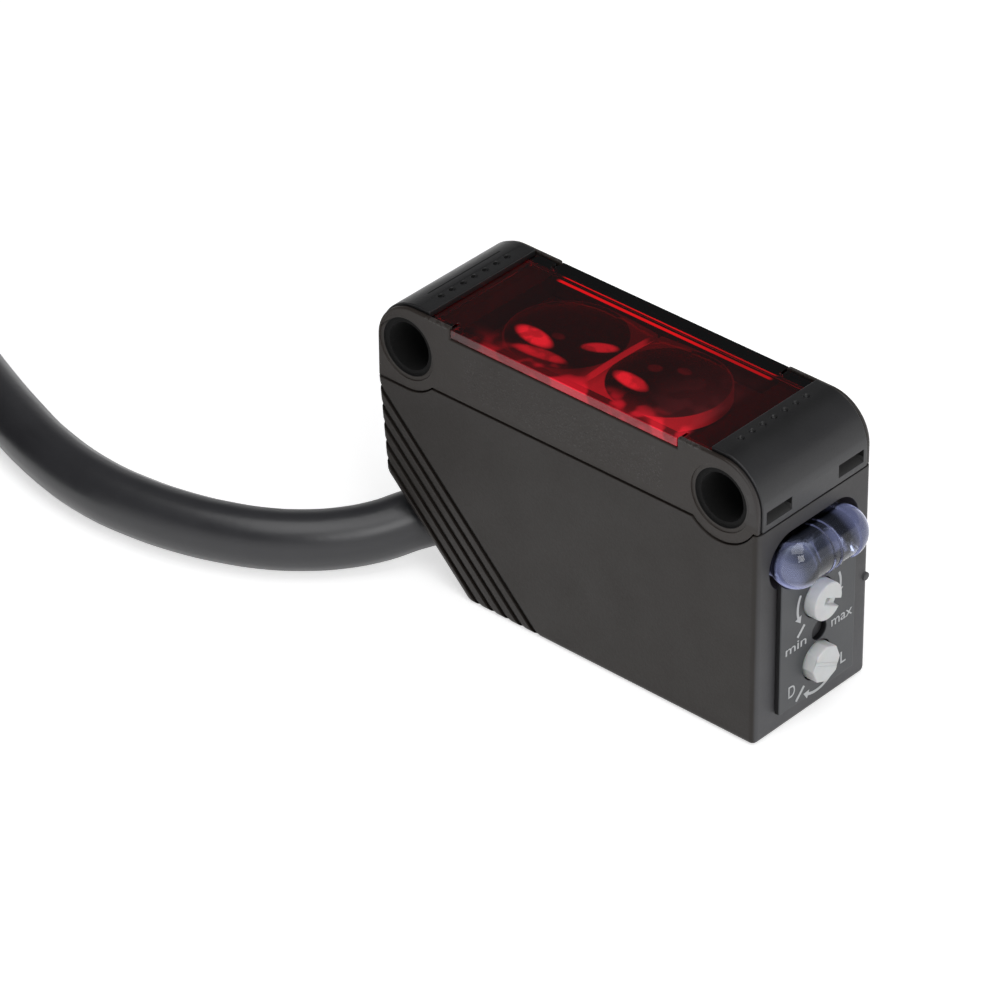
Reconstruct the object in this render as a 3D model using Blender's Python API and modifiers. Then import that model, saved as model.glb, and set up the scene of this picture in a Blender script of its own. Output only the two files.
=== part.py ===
"""Miniature photoelectric sensor, retro-reflective type, with its moulded-in cable.

Every size below is in millimetres. X runs from the cable end to the end with the two
adjusters, Y across the thin side, Z up from the flat back to the lens face. Outlines are
measured from the middle of the two mounting holes, and the empty that carries everything
moves that point so that the frame's origin is under the middle of the sensor.
"""

import math

import bmesh
import bpy
from mathutils import Matrix, Vector

MM = 0.001

# Body
BODY_HEIGHT = 20.0
CASE_WIDTH = 10.8
HOLE_PITCH = 25.4
CABLE_END_WALL = 2.55
PANEL_END_WALL = 3.05
CABLE_END_X = -HOLE_PITCH / 2 - CABLE_END_WALL
PANEL_END_X = HOLE_PITCH / 2 + PANEL_END_WALL
FRAME_WIDTH = CASE_WIDTH - 0.2
BLOCK_WIDTH = FRAME_WIDTH - 0.76
CORNER_RADIUS = 3.2
EDGE_ROUND = 0.45
WALL = 1.0
SEAM = 0.08
BACK_TAPER = 0.6
CHAMFER_RUN = 7.53
CHAMFER_X = CABLE_END_X + CHAMFER_RUN
CHEEK_INSET = 0.1
CHEEK_TOP = BODY_HEIGHT - 0.2

# Mounting holes
HOLE_Z = BODY_HEIGHT - 3.1
HOLE_RADIUS = 1.65
HOLE_MOUTH_RADIUS = HOLE_RADIUS + 0.35
HOLE_MOUTH_DEPTH = 0.22
HOLE_RING_RADIUS = HOLE_RADIUS + 0.62
HOLE_RING_DEPTH = 0.08
TUBE_RADIUS = HOLE_RADIUS + 0.3
BOSS_RADIUS = TUBE_RADIUS + 1.0

# Line where the case meets the front frame
SEAM_Z = BODY_HEIGHT - 5.18
SEAM_CABLE_END_Z = BODY_HEIGHT - 6.05
SEAM_PANEL_END_Z = BODY_HEIGHT - 4.5

# Ribbed corner
GROOVES = 5
FIRST_GROOVE = CHAMFER_X + 5.87
GROOVE_PITCH = 1.215
GROOVE_WIDTH = 0.36
GROOVE_DEPTH = 0.25

# Front window and the blocks at its ends
WINDOW_TOP = BODY_HEIGHT - 0.3
WINDOW_BOTTOM = WINDOW_TOP - 1.15
LIP_Z = WINDOW_TOP - 0.67
WINDOW_LEFT = -HOLE_PITCH / 2 + 3.6
WINDOW_RIGHT = HOLE_PITCH / 2 - 3.4
PLATE_LEFT = WINDOW_LEFT - 1.85
PLATE_RIGHT = WINDOW_RIGHT + 2.25
PLATE_END_WIDTH = BLOCK_WIDTH
PLATE_GAP = 0.1
WELL_WIDTH = FRAME_WIDTH - 1.8
DOTS = 7
DOT_PITCH = 1.02
DOT_RADIUS = 0.24
DOT_DEPTH = 0.18
DOT_FROM_STEP = 0.75
LATCH_NEAR = 2.2
LATCH_FAR = BLOCK_WIDTH / 2 - 0.35
LATCH_LOW = SEAM_PANEL_END_Z + 0.45
LATCH_HIGH = LATCH_LOW + 0.9
LATCH_DEPTH = 1.6

# Optics
FIT = 0.06
LENS_RADIUS = 3.85
LENS_CENTRE_X = 4.0
LENS_GAP = 0.15
LENS_TOP = WINDOW_BOTTOM - PLATE_GAP
LENS_BASE = LENS_TOP - 1.2
LENS_CURVE = 14.0
FILTER_THICKNESS = 0.12
HOLDER_BASE = LENS_BASE - 4.8
HOLDER_WIDTH = WELL_WIDTH - FIT * 4
BOARD_THICKNESS = 1.0

# Adjuster end
CAPSULE_RADIUS = 1.74
CAPSULE_HALF = 2.07
CAPSULE_X = PANEL_END_X + 0.35
RECESS_RADIUS = CAPSULE_RADIUS + 0.31
RECESS_FLOOR_X = CAPSULE_X - CAPSULE_RADIUS - FIT
CAPSULE_Z = BODY_HEIGHT - 7.7
CAPSULE_WAIST = CAPSULE_RADIUS - 0.12
RIDGES = (0.28, -0.36)
ADJUSTER_Z = CAPSULE_Z - 3.7
SELECTOR_Z = ADJUSTER_Z - 4.65
PANEL_HALF_WIDTH = 3.55
PANEL_LOW = SELECTOR_Z - 2.35
PANEL_BACK_X = PANEL_END_X + 0.05
PANEL_FACE_X = PANEL_BACK_X + 0.4
KNOB_RADIUS = 1.3
KNOB_FACE_X = PANEL_FACE_X + 0.8
KNOB_CLEARANCE = 0.08
KNOB_TILT = -27.0
INNER_END_X = PANEL_END_X - 2.55
SHAFT_RADIUS = 0.7
SHAFT_END_X = INNER_END_X - 1.0
SEAL_POCKET_RADIUS = SHAFT_RADIUS + 0.55
SEAL_POCKET_DEPTH = 0.75
SLOT_WIDTH = 0.5
SLOT_DEPTH = 0.45
VENT_Z = SELECTOR_Z + 2.15
VENT_RADIUS = 0.7

# Cable: 2 m of 4 mm round cable with three cores
CABLE_RADIUS = 2.0
BUSH_RADIUS = 2.9
BUSH_OUT = 0.4
CORE_RADIUS = 0.55
CONDUCTOR_RADIUS = 0.27
COIL_CENTRE = (-72.5, -29.6)
COIL_OUTER = 30.0
COIL_COLUMNS = 4
COIL_ROWS = 3
TOP_COLUMNS = 2
ROW_RISE = 4.05
TIE_ANGLE = 32.0
TIE_THICKNESS = 0.4
TIE_WIDTH = 3.0
TIE_GAP = 0.3
TAIL_ANGLE = 113.0
TAIL_SWEEP = 93.0
TAIL_STEPS = 12
CORE_LENGTH = 30.0
CONDUCTOR_LENGTH = 6.0
TOUCH = 0.3
REST = 0.02

CAPSULE_REACH = CAPSULE_X + CAPSULE_RADIUS
SHIFT_X = -(CABLE_END_X + CAPSULE_REACH) / 2
NEAR_HOLE = (-HOLE_PITCH / 2, HOLE_Z)
FAR_HOLE = (HOLE_PITCH / 2, HOLE_Z)

BLACK_CASE = (0.018, 0.017, 0.017, 1.0)
BLACK_GLOSS = (0.008, 0.008, 0.009, 1.0)
RED_CLEAR = (0.55, 0.005, 0.012, 1.0)
SMOKE_BLUE = (0.30, 0.32, 0.45, 1.0)
PANEL_GREY = (0.055, 0.057, 0.062, 1.0)
WHITE_POM = (0.70, 0.72, 0.70, 1.0)
BOARD_GREEN = (0.02, 0.12, 0.05, 1.0)
CHIP_BLACK = (0.02, 0.02, 0.022, 1.0)
METAL = (0.55, 0.55, 0.56, 1.0)
CABLE_BLACK = (0.014, 0.014, 0.017, 1.0)


def clear_scene():
    for old in list(bpy.data.objects):
        bpy.data.objects.remove(old, do_unlink=True)


def make_collection(name):
    collection = bpy.data.collections.new(name)
    bpy.context.scene.collection.children.link(collection)
    return collection


def make_material(name, colour, roughness, metallic=0.0):
    """One Principled material, made once for each name."""
    found = bpy.data.materials.get(name)
    if found:
        return found
    material = bpy.data.materials.new(name)
    material.use_nodes = True
    shader = material.node_tree.nodes["Principled BSDF"]
    shader.inputs["Base Color"].default_value = colour
    shader.inputs["Roughness"].default_value = roughness
    shader.inputs["Metallic"].default_value = metallic
    return material


def place(obj, material=None):
    """Puts an object on the datum empty, as a part or, with no material, as a cutter."""
    for collection in list(obj.users_collection):
        collection.objects.unlink(obj)
    if material is None:
        CUTTERS.objects.link(obj)
        obj.hide_render = True
        obj.display_type = 'WIRE'
    else:
        PARTS.objects.link(obj)
        obj.data.materials.append(material)
        obj.data.shade_smooth()
        obj.data.set_sharp_from_angle(angle=math.radians(32))
    obj.parent = DATUM
    return obj


def curve_to_mesh(curve_object, name):
    """Makes a closed mesh of an extruded or beveled curve and removes the curve."""
    bpy.context.view_layer.update()
    evaluated = curve_object.evaluated_get(bpy.context.evaluated_depsgraph_get())
    mesh = bpy.data.meshes.new_from_object(evaluated)
    where = curve_object.matrix_world.copy()
    bpy.data.objects.remove(curve_object, do_unlink=True)
    solid = bpy.data.objects.new(name, mesh)
    solid.matrix_world = where
    bpy.context.scene.collection.objects.link(solid)
    shape = bmesh.new()
    shape.from_mesh(mesh)
    bmesh.ops.remove_doubles(shape, verts=shape.verts, dist=0.000001)
    bmesh.ops.recalc_face_normals(shape, faces=shape.faces)
    shape.to_mesh(mesh)
    shape.free()
    return solid


TURN_OUTLINE = {
    'X': Matrix(((0, 0, 1, 0), (1, 0, 0, 0), (0, 1, 0, 0), (0, 0, 0, 1))),
    'Y': Matrix(((1, 0, 0, 0), (0, 0, -1, 0), (0, 1, 0, 0), (0, 0, 0, 1))),
    'Z': Matrix.Identity(4),
}


def plate(name, outline, low, high, axis):
    """A flat outline given thickness from low to high along one axis.

    The outline's two numbers are (y, z) along X, (x, z) along Y and (x, y) along Z.
    """
    curve = bpy.data.curves.new(name, 'CURVE')
    curve.dimensions = '2D'
    curve.fill_mode = 'BOTH'
    curve.extrude = (high - low) / 2 * MM
    spline = curve.splines.new('POLY')
    spline.points.add(len(outline) - 1)
    for point, (first, second) in zip(spline.points, outline):
        point.co = (first * MM, second * MM, 0.0, 1.0)
    spline.use_cyclic_u = True
    flat = bpy.data.objects.new(name, curve)
    bpy.context.scene.collection.objects.link(flat)
    solid = curve_to_mesh(flat, name)
    middle = (low + high) / 2 * MM
    move = {'X': (middle, 0, 0), 'Y': (0, middle, 0), 'Z': (0, 0, middle)}[axis]
    solid.data.transform(Matrix.Translation(move) @ TURN_OUTLINE[axis])
    return solid


def box(name, low, high):
    """A block between two opposite corners."""
    bpy.ops.mesh.primitive_cube_add(size=1.0)
    solid = bpy.context.object
    solid.name = name
    solid.data.name = name
    size = [(b - a) * MM for a, b in zip(low, high)]
    middle = [(a + b) / 2 * MM for a, b in zip(low, high)]
    solid.data.transform(Matrix.Translation(middle) @ Matrix.Diagonal((*size, 1.0)))
    return solid


def rod(name, radius, start, end, sides=24, end_radius=None):
    """A cylinder, or a cone with a second radius, between two points."""
    start, end = Vector(start), Vector(end)
    far = radius if end_radius is None else end_radius
    bpy.ops.mesh.primitive_cone_add(
        vertices=sides, radius1=radius * MM, radius2=far * MM, depth=(end - start).length * MM)
    solid = bpy.context.object
    solid.name = name
    solid.data.name = name
    turn = (end - start).to_track_quat('Z', 'Y').to_matrix().to_4x4()
    solid.data.transform(Matrix.Translation((start + end) / 2 * MM) @ turn)
    return solid


def ball(name, radius, centre, segments=24, rings=16, pole=(0, 0, 1)):
    bpy.ops.mesh.primitive_uv_sphere_add(segments=segments, ring_count=rings, radius=radius * MM)
    solid = bpy.context.object
    solid.name = name
    solid.data.name = name
    turn = Vector(pole).to_track_quat('Z', 'Y').to_matrix().to_4x4()
    solid.data.transform(Matrix.Translation(Vector(centre) * MM) @ turn)
    return solid


def turned(name, profile, centre, steps=32):
    """A profile of (radius, height) points, top to bottom down its outer side, turned about Z.

    A profile that begins off the axis is a ring's section and is closed.
    """
    mesh = bpy.data.meshes.new(name)
    corners = [(radius * MM, 0.0, height * MM) for radius, height in profile]
    edges = [(index, index + 1) for index in range(len(corners) - 1)]
    if profile[0][0] > 0:
        edges.append((len(corners) - 1, 0))
    mesh.from_pydata(corners, edges, [])
    solid = bpy.data.objects.new(name, mesh)
    solid.location = Vector(centre) * MM
    bpy.context.scene.collection.objects.link(solid)
    screw = solid.modifiers.new("Turn", 'SCREW')
    screw.axis = 'Z'
    screw.steps = steps
    screw.render_steps = steps
    screw.use_merge_vertices = True
    screw.merge_threshold = 0.000001
    return solid


def tube(name, route, radius, resolution=2):
    """A round wire through a list of points."""
    curve = bpy.data.curves.new(name, 'CURVE')
    curve.dimensions = '3D'
    curve.bevel_depth = radius * MM
    curve.bevel_resolution = resolution
    curve.use_fill_caps = True
    spline = curve.splines.new('POLY')
    spline.points.add(len(route) - 1)
    for point, place_mm in zip(spline.points, route):
        point.co = (*(value * MM for value in place_mm), 1.0)
    wire = bpy.data.objects.new(name, curve)
    bpy.context.scene.collection.objects.link(wire)
    return curve_to_mesh(wire, name)


def boolean(target, operation, others):
    for other in others:
        change = target.modifiers.new(other.name, 'BOOLEAN')
        change.operation = operation
        change.object = other
        place(other)


def cut(target, *others):
    boolean(target, 'DIFFERENCE', others)


def join(target, *others):
    boolean(target, 'UNION', others)


def round_edges(target, width, segments=2, angle=35.0):
    bevel = target.modifiers.new("Rounded edges", 'BEVEL')
    bevel.width = width * MM
    bevel.segments = segments
    bevel.limit_method = 'ANGLE'
    bevel.angle_limit = math.radians(angle)


def arc(centre, radius, start, end, steps):
    """Points of an arc, from one angle in degrees to another, both ends included."""
    turns = [math.radians(start + (end - start) * step / steps) for step in range(steps + 1)]
    return [(centre[0] + radius * math.cos(turn), centre[1] + radius * math.sin(turn))
            for turn in turns]


def stadium(half_length, centre_height, radius, steps=10):
    """Outline of a slot with round ends, in (y, z)."""
    right = arc((half_length, centre_height), radius, -90, 90, steps)
    left = arc((-half_length, centre_height), radius, 90, 270, steps)
    return right + left


def smooth_route(knots, spacing):
    """Points about a spacing apart on one smooth curve through the knots."""
    points = [Vector(knot) for knot in knots]
    before = points[0] * 2 - points[1]
    after = points[-1] * 2 - points[-2]
    padded = [before, *points, after]
    route = []
    for index in range(1, len(padded) - 2):
        a, b, c, d = padded[index - 1:index + 3]
        pieces = max(1, round((c - b).length / spacing))
        for piece in range(pieces):
            t = piece / pieces
            route.append(0.5 * ((2 * b) + (c - a) * t + (2 * a - 5 * b + 4 * c - d) * t * t
                                + (3 * b - a - 3 * c + d) * t ** 3))
    route.append(points[-1])
    return [tuple(point) for point in route]


def circle_side(centre, radius, level, side):
    """X where a circle crosses a level, on one side of its centre."""
    return centre[0] + side * math.sqrt(radius ** 2 - (level - centre[1]) ** 2)


def seam_line(gap):
    """Line between case and frame, from the panel end to the cable end, lowered by a gap."""
    reach = BOSS_RADIUS + gap
    right_level = SEAM_PANEL_END_Z - gap
    middle = SEAM_Z - gap

    def angle_at(level, side):
        rise = (level - HOLE_Z) / reach
        return math.degrees(math.asin(rise)) if side > 0 else 180 - math.degrees(math.asin(rise))

    far = arc(FAR_HOLE, reach, angle_at(right_level, 1), angle_at(middle, -1) - 360, 12)
    near = arc(NEAR_HOLE, reach, angle_at(middle, 1), -90, 7)
    beyond = 3.0
    return ([(PANEL_END_X + beyond, right_level)] + far + near
            + [(CABLE_END_X - beyond, SEAM_CABLE_END_Z - gap)])


def above_seam(name, gap):
    """Everything above the case's rim."""
    above, half = BODY_HEIGHT + 6, CASE_WIDTH / 2 + 2.6
    return plate(name, seam_line(gap) + [(CABLE_END_X - 3, above), (PANEL_END_X + 3, above)],
                 -half, half, 'Y')


def below_seam(name):
    """Everything below the frame's lower edge."""
    half = CASE_WIDTH / 2 + 2.6
    return plate(name, seam_line(0) + [(CABLE_END_X - 3, -4), (PANEL_END_X + 3, -4)],
                 -half, half, 'Y')


def body_outline(inset=0.0):
    """Side view of the whole body, with the slanted cable corner, from the back's right end."""
    radius = CORNER_RADIUS
    left, right = CABLE_END_X + inset, PANEL_END_X - inset
    low, high = inset, BODY_HEIGHT - inset
    slant = CHAMFER_X + inset * math.sqrt(2)
    shoulder_x = left + BACK_TAPER
    return ([(right, low)]
            + arc((right - radius, high - radius), radius, 0, 90, 10)
            + arc((left + radius, high - radius), radius, 90, 180, 10)
            + [(left, SEAM_CABLE_END_Z), (shoulder_x, slant - shoulder_x),
               (slant - low, low)])


def groove_rings():
    """Slanted slabs with the body's core taken out: they cut the grooves all round the corner."""
    rings = []
    for index in range(GROOVES):
        reach = FIRST_GROOVE - GROOVE_PITCH * index
        name = f"groove_{index + 1}"
        half = CASE_WIDTH / 2 + 1.6
        slab = box(name, (-GROOVE_WIDTH / 2, -half, -16), (GROOVE_WIDTH / 2, half, 16))
        middle_x = (reach + CABLE_END_X) / 2
        slab.data.transform(Matrix.Translation((middle_x * MM, 0, (reach - middle_x) * MM))
                            @ Matrix.Rotation(math.radians(-45), 4, 'Y'))
        core = plate(name + "_core", body_outline(GROOVE_DEPTH),
                     -CASE_WIDTH / 2 + GROOVE_DEPTH, CASE_WIDTH / 2 - GROOVE_DEPTH, 'Y')
        cut(slab, core)
        rings.append(slab)
    return rings


def chamfer_middle():
    """Middle of the slanted face, on the body's centre plane."""
    top_x = CABLE_END_X + BACK_TAPER
    return Vector(((top_x + CHAMFER_X) / 2, 0, (CHAMFER_X - top_x) / 2))


OUTWARD = Vector((-1, 0, -1)).normalized()
BUSH_CENTRE = chamfer_middle() + OUTWARD * BUSH_OUT
EXIT_DIRECTION = Vector((-0.545, -0.83, -0.115)).normalized()
SOCKET_RADIUS = CABLE_RADIUS + 0.1
EXIT_REACH = math.sqrt(BUSH_RADIUS ** 2 - SOCKET_RADIUS ** 2)


def make_case():
    """Main housing: black PBT cup with a ribbed, slanted cable corner."""
    case = plate("case", body_outline(), -CASE_WIDTH / 2, CASE_WIDTH / 2, 'Y')
    place(case, make_material("black PBT", BLACK_CASE, 0.48))
    round_edges(case, EDGE_ROUND)
    half = CASE_WIDTH / 2
    slant = CHAMFER_X + WALL * math.sqrt(2)
    inner_left = CABLE_END_X + BACK_TAPER + WALL
    above = BODY_HEIGHT + 2
    hollow = [(INNER_END_X, WALL), (INNER_END_X, above), (inner_left, above),
              (inner_left, slant - inner_left), (slant - WALL, WALL)]
    gate_z = ADJUSTER_Z - 1.3
    gate = rod("gate_mark", 0.28, (PANEL_END_X - 0.4, half - 0.33, gate_z),
               (PANEL_END_X + 0.12, half - 0.33, gate_z), sides=12)
    join(case, gate)
    cut(case, above_seam("case_top", SEAM), *groove_rings(),
        plate("case_hollow", hollow, -half + WALL + 0.05, half - WALL - 0.05, 'Y'))
    cut(case, plate("indicator_recess", stadium(CAPSULE_HALF + 0.1, CAPSULE_Z, RECESS_RADIUS),
                    RECESS_FLOOR_X, PANEL_END_X + 2, 'X'))
    for label, height in (("adjuster", ADJUSTER_Z), ("selector", SELECTOR_Z)):
        cut(case,
            rod(label + "_shaft_hole", SHAFT_RADIUS + KNOB_CLEARANCE,
                (INNER_END_X - 1, 0, height), (PANEL_END_X + 1, 0, height)),
            rod(label + "_seal_pocket", SEAL_POCKET_RADIUS,
                (PANEL_END_X - SEAL_POCKET_DEPTH, 0, height), (PANEL_END_X + 1, 0, height)))
    for label, across in (("green", -CAPSULE_HALF), ("orange", CAPSULE_HALF)):
        cut(case, rod(label + "_light_hole", 0.75, (INNER_END_X - 1, across, CAPSULE_Z),
                      (RECESS_FLOOR_X + 0.5, across, CAPSULE_Z), sides=16))
    cut(case, ball("bush_seat", BUSH_RADIUS + FIT, BUSH_CENTRE, pole=(1, 0, 1)),
        rod("cable_relief", CABLE_RADIUS + TOUCH, BUSH_CENTRE, BUSH_CENTRE + EXIT_DIRECTION * 9))
    return case


def boss_clearance(side):
    """Room over one boss and the ledge for the window's end, inside the two cheeks."""
    centre = FAR_HOLE if side > 0 else NEAR_HOLE
    inner = WINDOW_RIGHT if side > 0 else WINDOW_LEFT
    step = PLATE_RIGHT + PLATE_GAP / 2 if side > 0 else PLATE_LEFT - PLATE_GAP / 2
    outer_x = centre[0] + side * TUBE_RADIUS
    ledge = WINDOW_BOTTOM - SEAM
    across = abs(step - centre[0])
    rise = math.degrees(math.acos(across / TUBE_RADIUS))
    start, end = (180 - rise, 0) if side > 0 else (rise, 180)
    low = SEAM_PANEL_END_Z if side > 0 else SEAM_CABLE_END_Z
    above = BODY_HEIGHT + 4
    outline = ([(inner - side * 0.6, above), (inner - side * 0.6, ledge), (step, ledge)]
               + arc(centre, TUBE_RADIUS, start, end, 10)
               + [(outer_x, low - 4), (outer_x + side * 5, low - 4), (outer_x + side * 5, above)])
    name = "panel_end_room" if side > 0 else "cable_end_room"
    half = BLOCK_WIDTH / 2 + SEAM
    return plate(name, outline, -half, half, 'Y')


def cheek_outline():
    """Side view of the front frame: its cheeks stand a little inside the body's outline."""
    top, inset, low = CHEEK_TOP, CHEEK_INSET, HOLE_Z - BOSS_RADIUS - 1.95
    left_centre = (CABLE_END_X + inset + BOSS_RADIUS, top - BOSS_RADIUS)
    right_centre = (PANEL_END_X - inset - BOSS_RADIUS, top - BOSS_RADIUS)
    return ([(CABLE_END_X + inset, low), (PANEL_END_X - inset, low)]
            + arc(right_centre, BOSS_RADIUS, 0, 90, 10)
            + [(WINDOW_RIGHT, top), (WINDOW_RIGHT, LIP_Z), (WINDOW_LEFT, LIP_Z),
               (WINDOW_LEFT, top)]
            + arc(left_centre, BOSS_RADIUS, 90, 180, 10))


def make_front_frame():
    """Upper housing with the two bosses for the mounting screws and the side walls."""
    half = FRAME_WIDTH / 2
    frame = plate("front_frame", cheek_outline(), -half, half, 'Y')
    place(frame, make_material("black PBT", BLACK_CASE, 0.48))
    round_edges(frame, 0.12, segments=1)
    cut(frame, below_seam("frame_bottom"),
        box("lens_well", (WINDOW_LEFT - 0.05, -WELL_WIDTH / 2, HOLDER_BASE - 4),
            (WINDOW_RIGHT + 0.05, WELL_WIDTH / 2, BODY_HEIGHT + 4)),
        boss_clearance(1), boss_clearance(-1))
    for label, (x, z) in (("cable_end", NEAR_HOLE), ("panel_end", FAR_HOLE)):
        cut(frame, rod(label + "_hole", HOLE_RADIUS, (x, -half * 1.5, z), (x, half * 1.5, z),
                       sides=32))
        for y, tag in ((-half, "near"), (half, "far")):
            for kind, radius, depth in (("ring", HOLE_RING_RADIUS, HOLE_RING_DEPTH),
                                        ("mouth", HOLE_MOUTH_RADIUS, HOLE_MOUTH_DEPTH)):
                floor_y = math.copysign(half - depth, y)
                cut(frame, rod(f"{label}_{tag}_{kind}", radius, (x, floor_y, z), (x, y * 1.2, z),
                               sides=32))
    return frame


def end_block(side):
    """Rounded black block of the front cover: wraps over a boss and down the end face."""
    centre = FAR_HOLE if side > 0 else NEAR_HOLE
    end_x = PANEL_END_X if side > 0 else CABLE_END_X
    step = PLATE_RIGHT + PLATE_GAP if side > 0 else PLATE_LEFT - PLATE_GAP
    low = SEAM_PANEL_END_Z if side > 0 else SEAM_CABLE_END_Z + SEAM
    corner = (end_x - side * CORNER_RADIUS, BODY_HEIGHT - CORNER_RADIUS)
    inner_radius = TUBE_RADIUS + SEAM
    rise = math.degrees(math.acos(abs(step - centre[0]) / inner_radius))
    if side > 0:
        outer = arc(corner, CORNER_RADIUS, 0, 90, 12)
        inner = arc(centre, inner_radius, 180 - rise, 0, 10)
    else:
        outer = arc(corner, CORNER_RADIUS, 180, 90, 12)
        inner = arc(centre, inner_radius, rise, 180, 10)
    outline = ([(end_x, low)] + outer + [(step, BODY_HEIGHT)] + inner
               + [(centre[0] + side * inner_radius, low)])
    name = "end_block_panel_end" if side > 0 else "end_block_cable_end"
    half = BLOCK_WIDTH / 2
    block = plate(name, outline, -half, half, 'Y')
    place(block, make_material("black gloss", BLACK_GLOSS, 0.3))
    row_x = step + side * DOT_FROM_STEP
    for index in range(DOTS):
        y = (index - (DOTS - 1) / 2) * DOT_PITCH
        cut(block, rod(f"{name}_dot_{index + 1}", DOT_RADIUS, (row_x, y, BODY_HEIGHT - DOT_DEPTH),
                       (row_x, y, BODY_HEIGHT + 1), sides=8))
    for tag, inner_y, outer_y in (("near", -LATCH_FAR, -LATCH_NEAR), ("far", LATCH_NEAR, LATCH_FAR)):
        xs = sorted((end_x - side * LATCH_DEPTH, end_x + side))
        cut(block, box(f"{name}_latch_{tag}", (xs[0], inner_y, LATCH_LOW),
                       (xs[1], outer_y, LATCH_HIGH)))
    return block


def make_front_window():
    """Clear red cover plate: wide between the cheeks, where its edge shows at the sides."""
    wide, narrow, sunk = FRAME_WIDTH / 2 - 0.05, PLATE_END_WIDTH / 2, WELL_WIDTH / 2 - FIT
    window = box("front_window", (PLATE_LEFT, -sunk, WINDOW_BOTTOM), (PLATE_RIGHT, sunk, WINDOW_TOP))
    place(window, make_material("clear red", RED_CLEAR, 0.08))
    join(window, box("window_lip", (WINDOW_LEFT + PLATE_GAP / 2, -wide, LIP_Z + PLATE_GAP / 2),
                     (WINDOW_RIGHT - PLATE_GAP / 2, wide, WINDOW_TOP)))
    notch = PLATE_GAP * 1.5
    for tag, inner, outer in (("left", WINDOW_LEFT - notch, PLATE_LEFT),
                              ("right", WINDOW_RIGHT + notch, PLATE_RIGHT)):
        xs = sorted((inner, outer))
        join(window, box("window_end_" + tag, (xs[0], -narrow, WINDOW_BOTTOM),
                         (xs[1], narrow, WINDOW_TOP)))
    return window


def half_round(side, radius, inner):
    """Outline of a D lens in (x, y): flat towards the middle, round outside."""
    middle = side * LENS_CENTRE_X
    start, end = (-90, 90) if side > 0 else (90, 270)
    return arc((middle, 0), radius, start, end, 20) + [(side * inner, side * radius),
                                                       (side * inner, -side * radius)]


def make_lens(name, side):
    """D-shaped lens with a domed top."""
    lens = plate(name, half_round(side, LENS_RADIUS, LENS_GAP), LENS_BASE, LENS_TOP, 'Z')
    place(lens, make_material("clear lens", RED_CLEAR, 0.05))
    dome = ball(name + "_dome", LENS_CURVE,
                (side * LENS_CENTRE_X, 0, LENS_TOP - LENS_CURVE), 48, 48, pole=(1, 0, 0))
    boolean(lens, 'INTERSECT', [dome])
    return lens


def make_filter(name, side):
    """Thin polarising film under a lens."""
    low = LENS_BASE - FIT - FILTER_THICKNESS
    film = plate(name, half_round(side, LENS_RADIUS - 0.25, 0.35), low, low + FILTER_THICKNESS, 'Z')
    place(film, make_material("polarising film", (0.05, 0.05, 0.07, 1.0), 0.2))
    return film


def make_lens_holder():
    """Black barrier with a cone for the beam going out and one for the beam coming back."""
    low = HOLDER_BASE
    high = LENS_BASE - FIT * 2 - FILTER_THICKNESS
    half = HOLDER_WIDTH / 2
    holder = box("lens_holder", (WINDOW_LEFT, -half, low), (WINDOW_RIGHT, half, high))
    place(holder, make_material("black barrier", CHIP_BLACK, 0.6))
    for tag, side in (("emitter", 1), ("receiver", -1)):
        x = side * LENS_CENTRE_X
        cut(holder, rod(tag + "_cone", 1.5, (x, 0, low + 1.05), (x, 0, high + 0.4), 28, 3.5),
            box(tag + "_seat", (x - 1.35, -1.35, low - 1), (x + 1.35, 1.35, low + 1.1)))
    return holder


def make_optics():
    make_front_window()
    make_lens("emitter_lens", 1)
    make_lens("receiver_lens", -1)
    make_filter("emitter_polariser", 1)
    make_filter("receiver_polariser", -1)
    make_lens_holder()
    board_top = HOLDER_BASE - FIT
    half = HOLDER_WIDTH / 2
    board = box("front_board", (WINDOW_LEFT, -half, board_top - BOARD_THICKNESS),
                (WINDOW_RIGHT, half, board_top))
    place(board, make_material("green board", BOARD_GREEN, 0.5))
    low = board_top + FIT
    x = LENS_CENTRE_X
    led = box("emitter_led", (x - 0.9, -0.8, low), (x + 0.9, 0.8, low + 0.5))
    place(led, make_material("led package", (0.75, 0.72, 0.62, 1.0), 0.3))
    join(led, ball("emitter_led_dome", 0.6, (x, 0, low + 0.63), 16, 8))
    receiver = box("receiver_chip", (-x - 0.85, -0.85, low), (-x + 0.85, 0.85, low + 0.5))
    place(receiver, make_material("chip black", CHIP_BLACK, 0.35))
    shield = box("receiver_shield", (-x - 1.2, -1.2, low), (-x + 1.2, 1.2, low + 0.95))
    place(shield, make_material("tin plate", METAL, 0.3, 1.0))
    cut(shield, box("shield_inside", (-x - 0.98, -0.98, low - 1), (-x + 0.98, 0.98, low + 0.7)),
        rod("shield_eye", 0.5, (-x, 0, low), (-x, 0, low + 2), 12))


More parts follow.
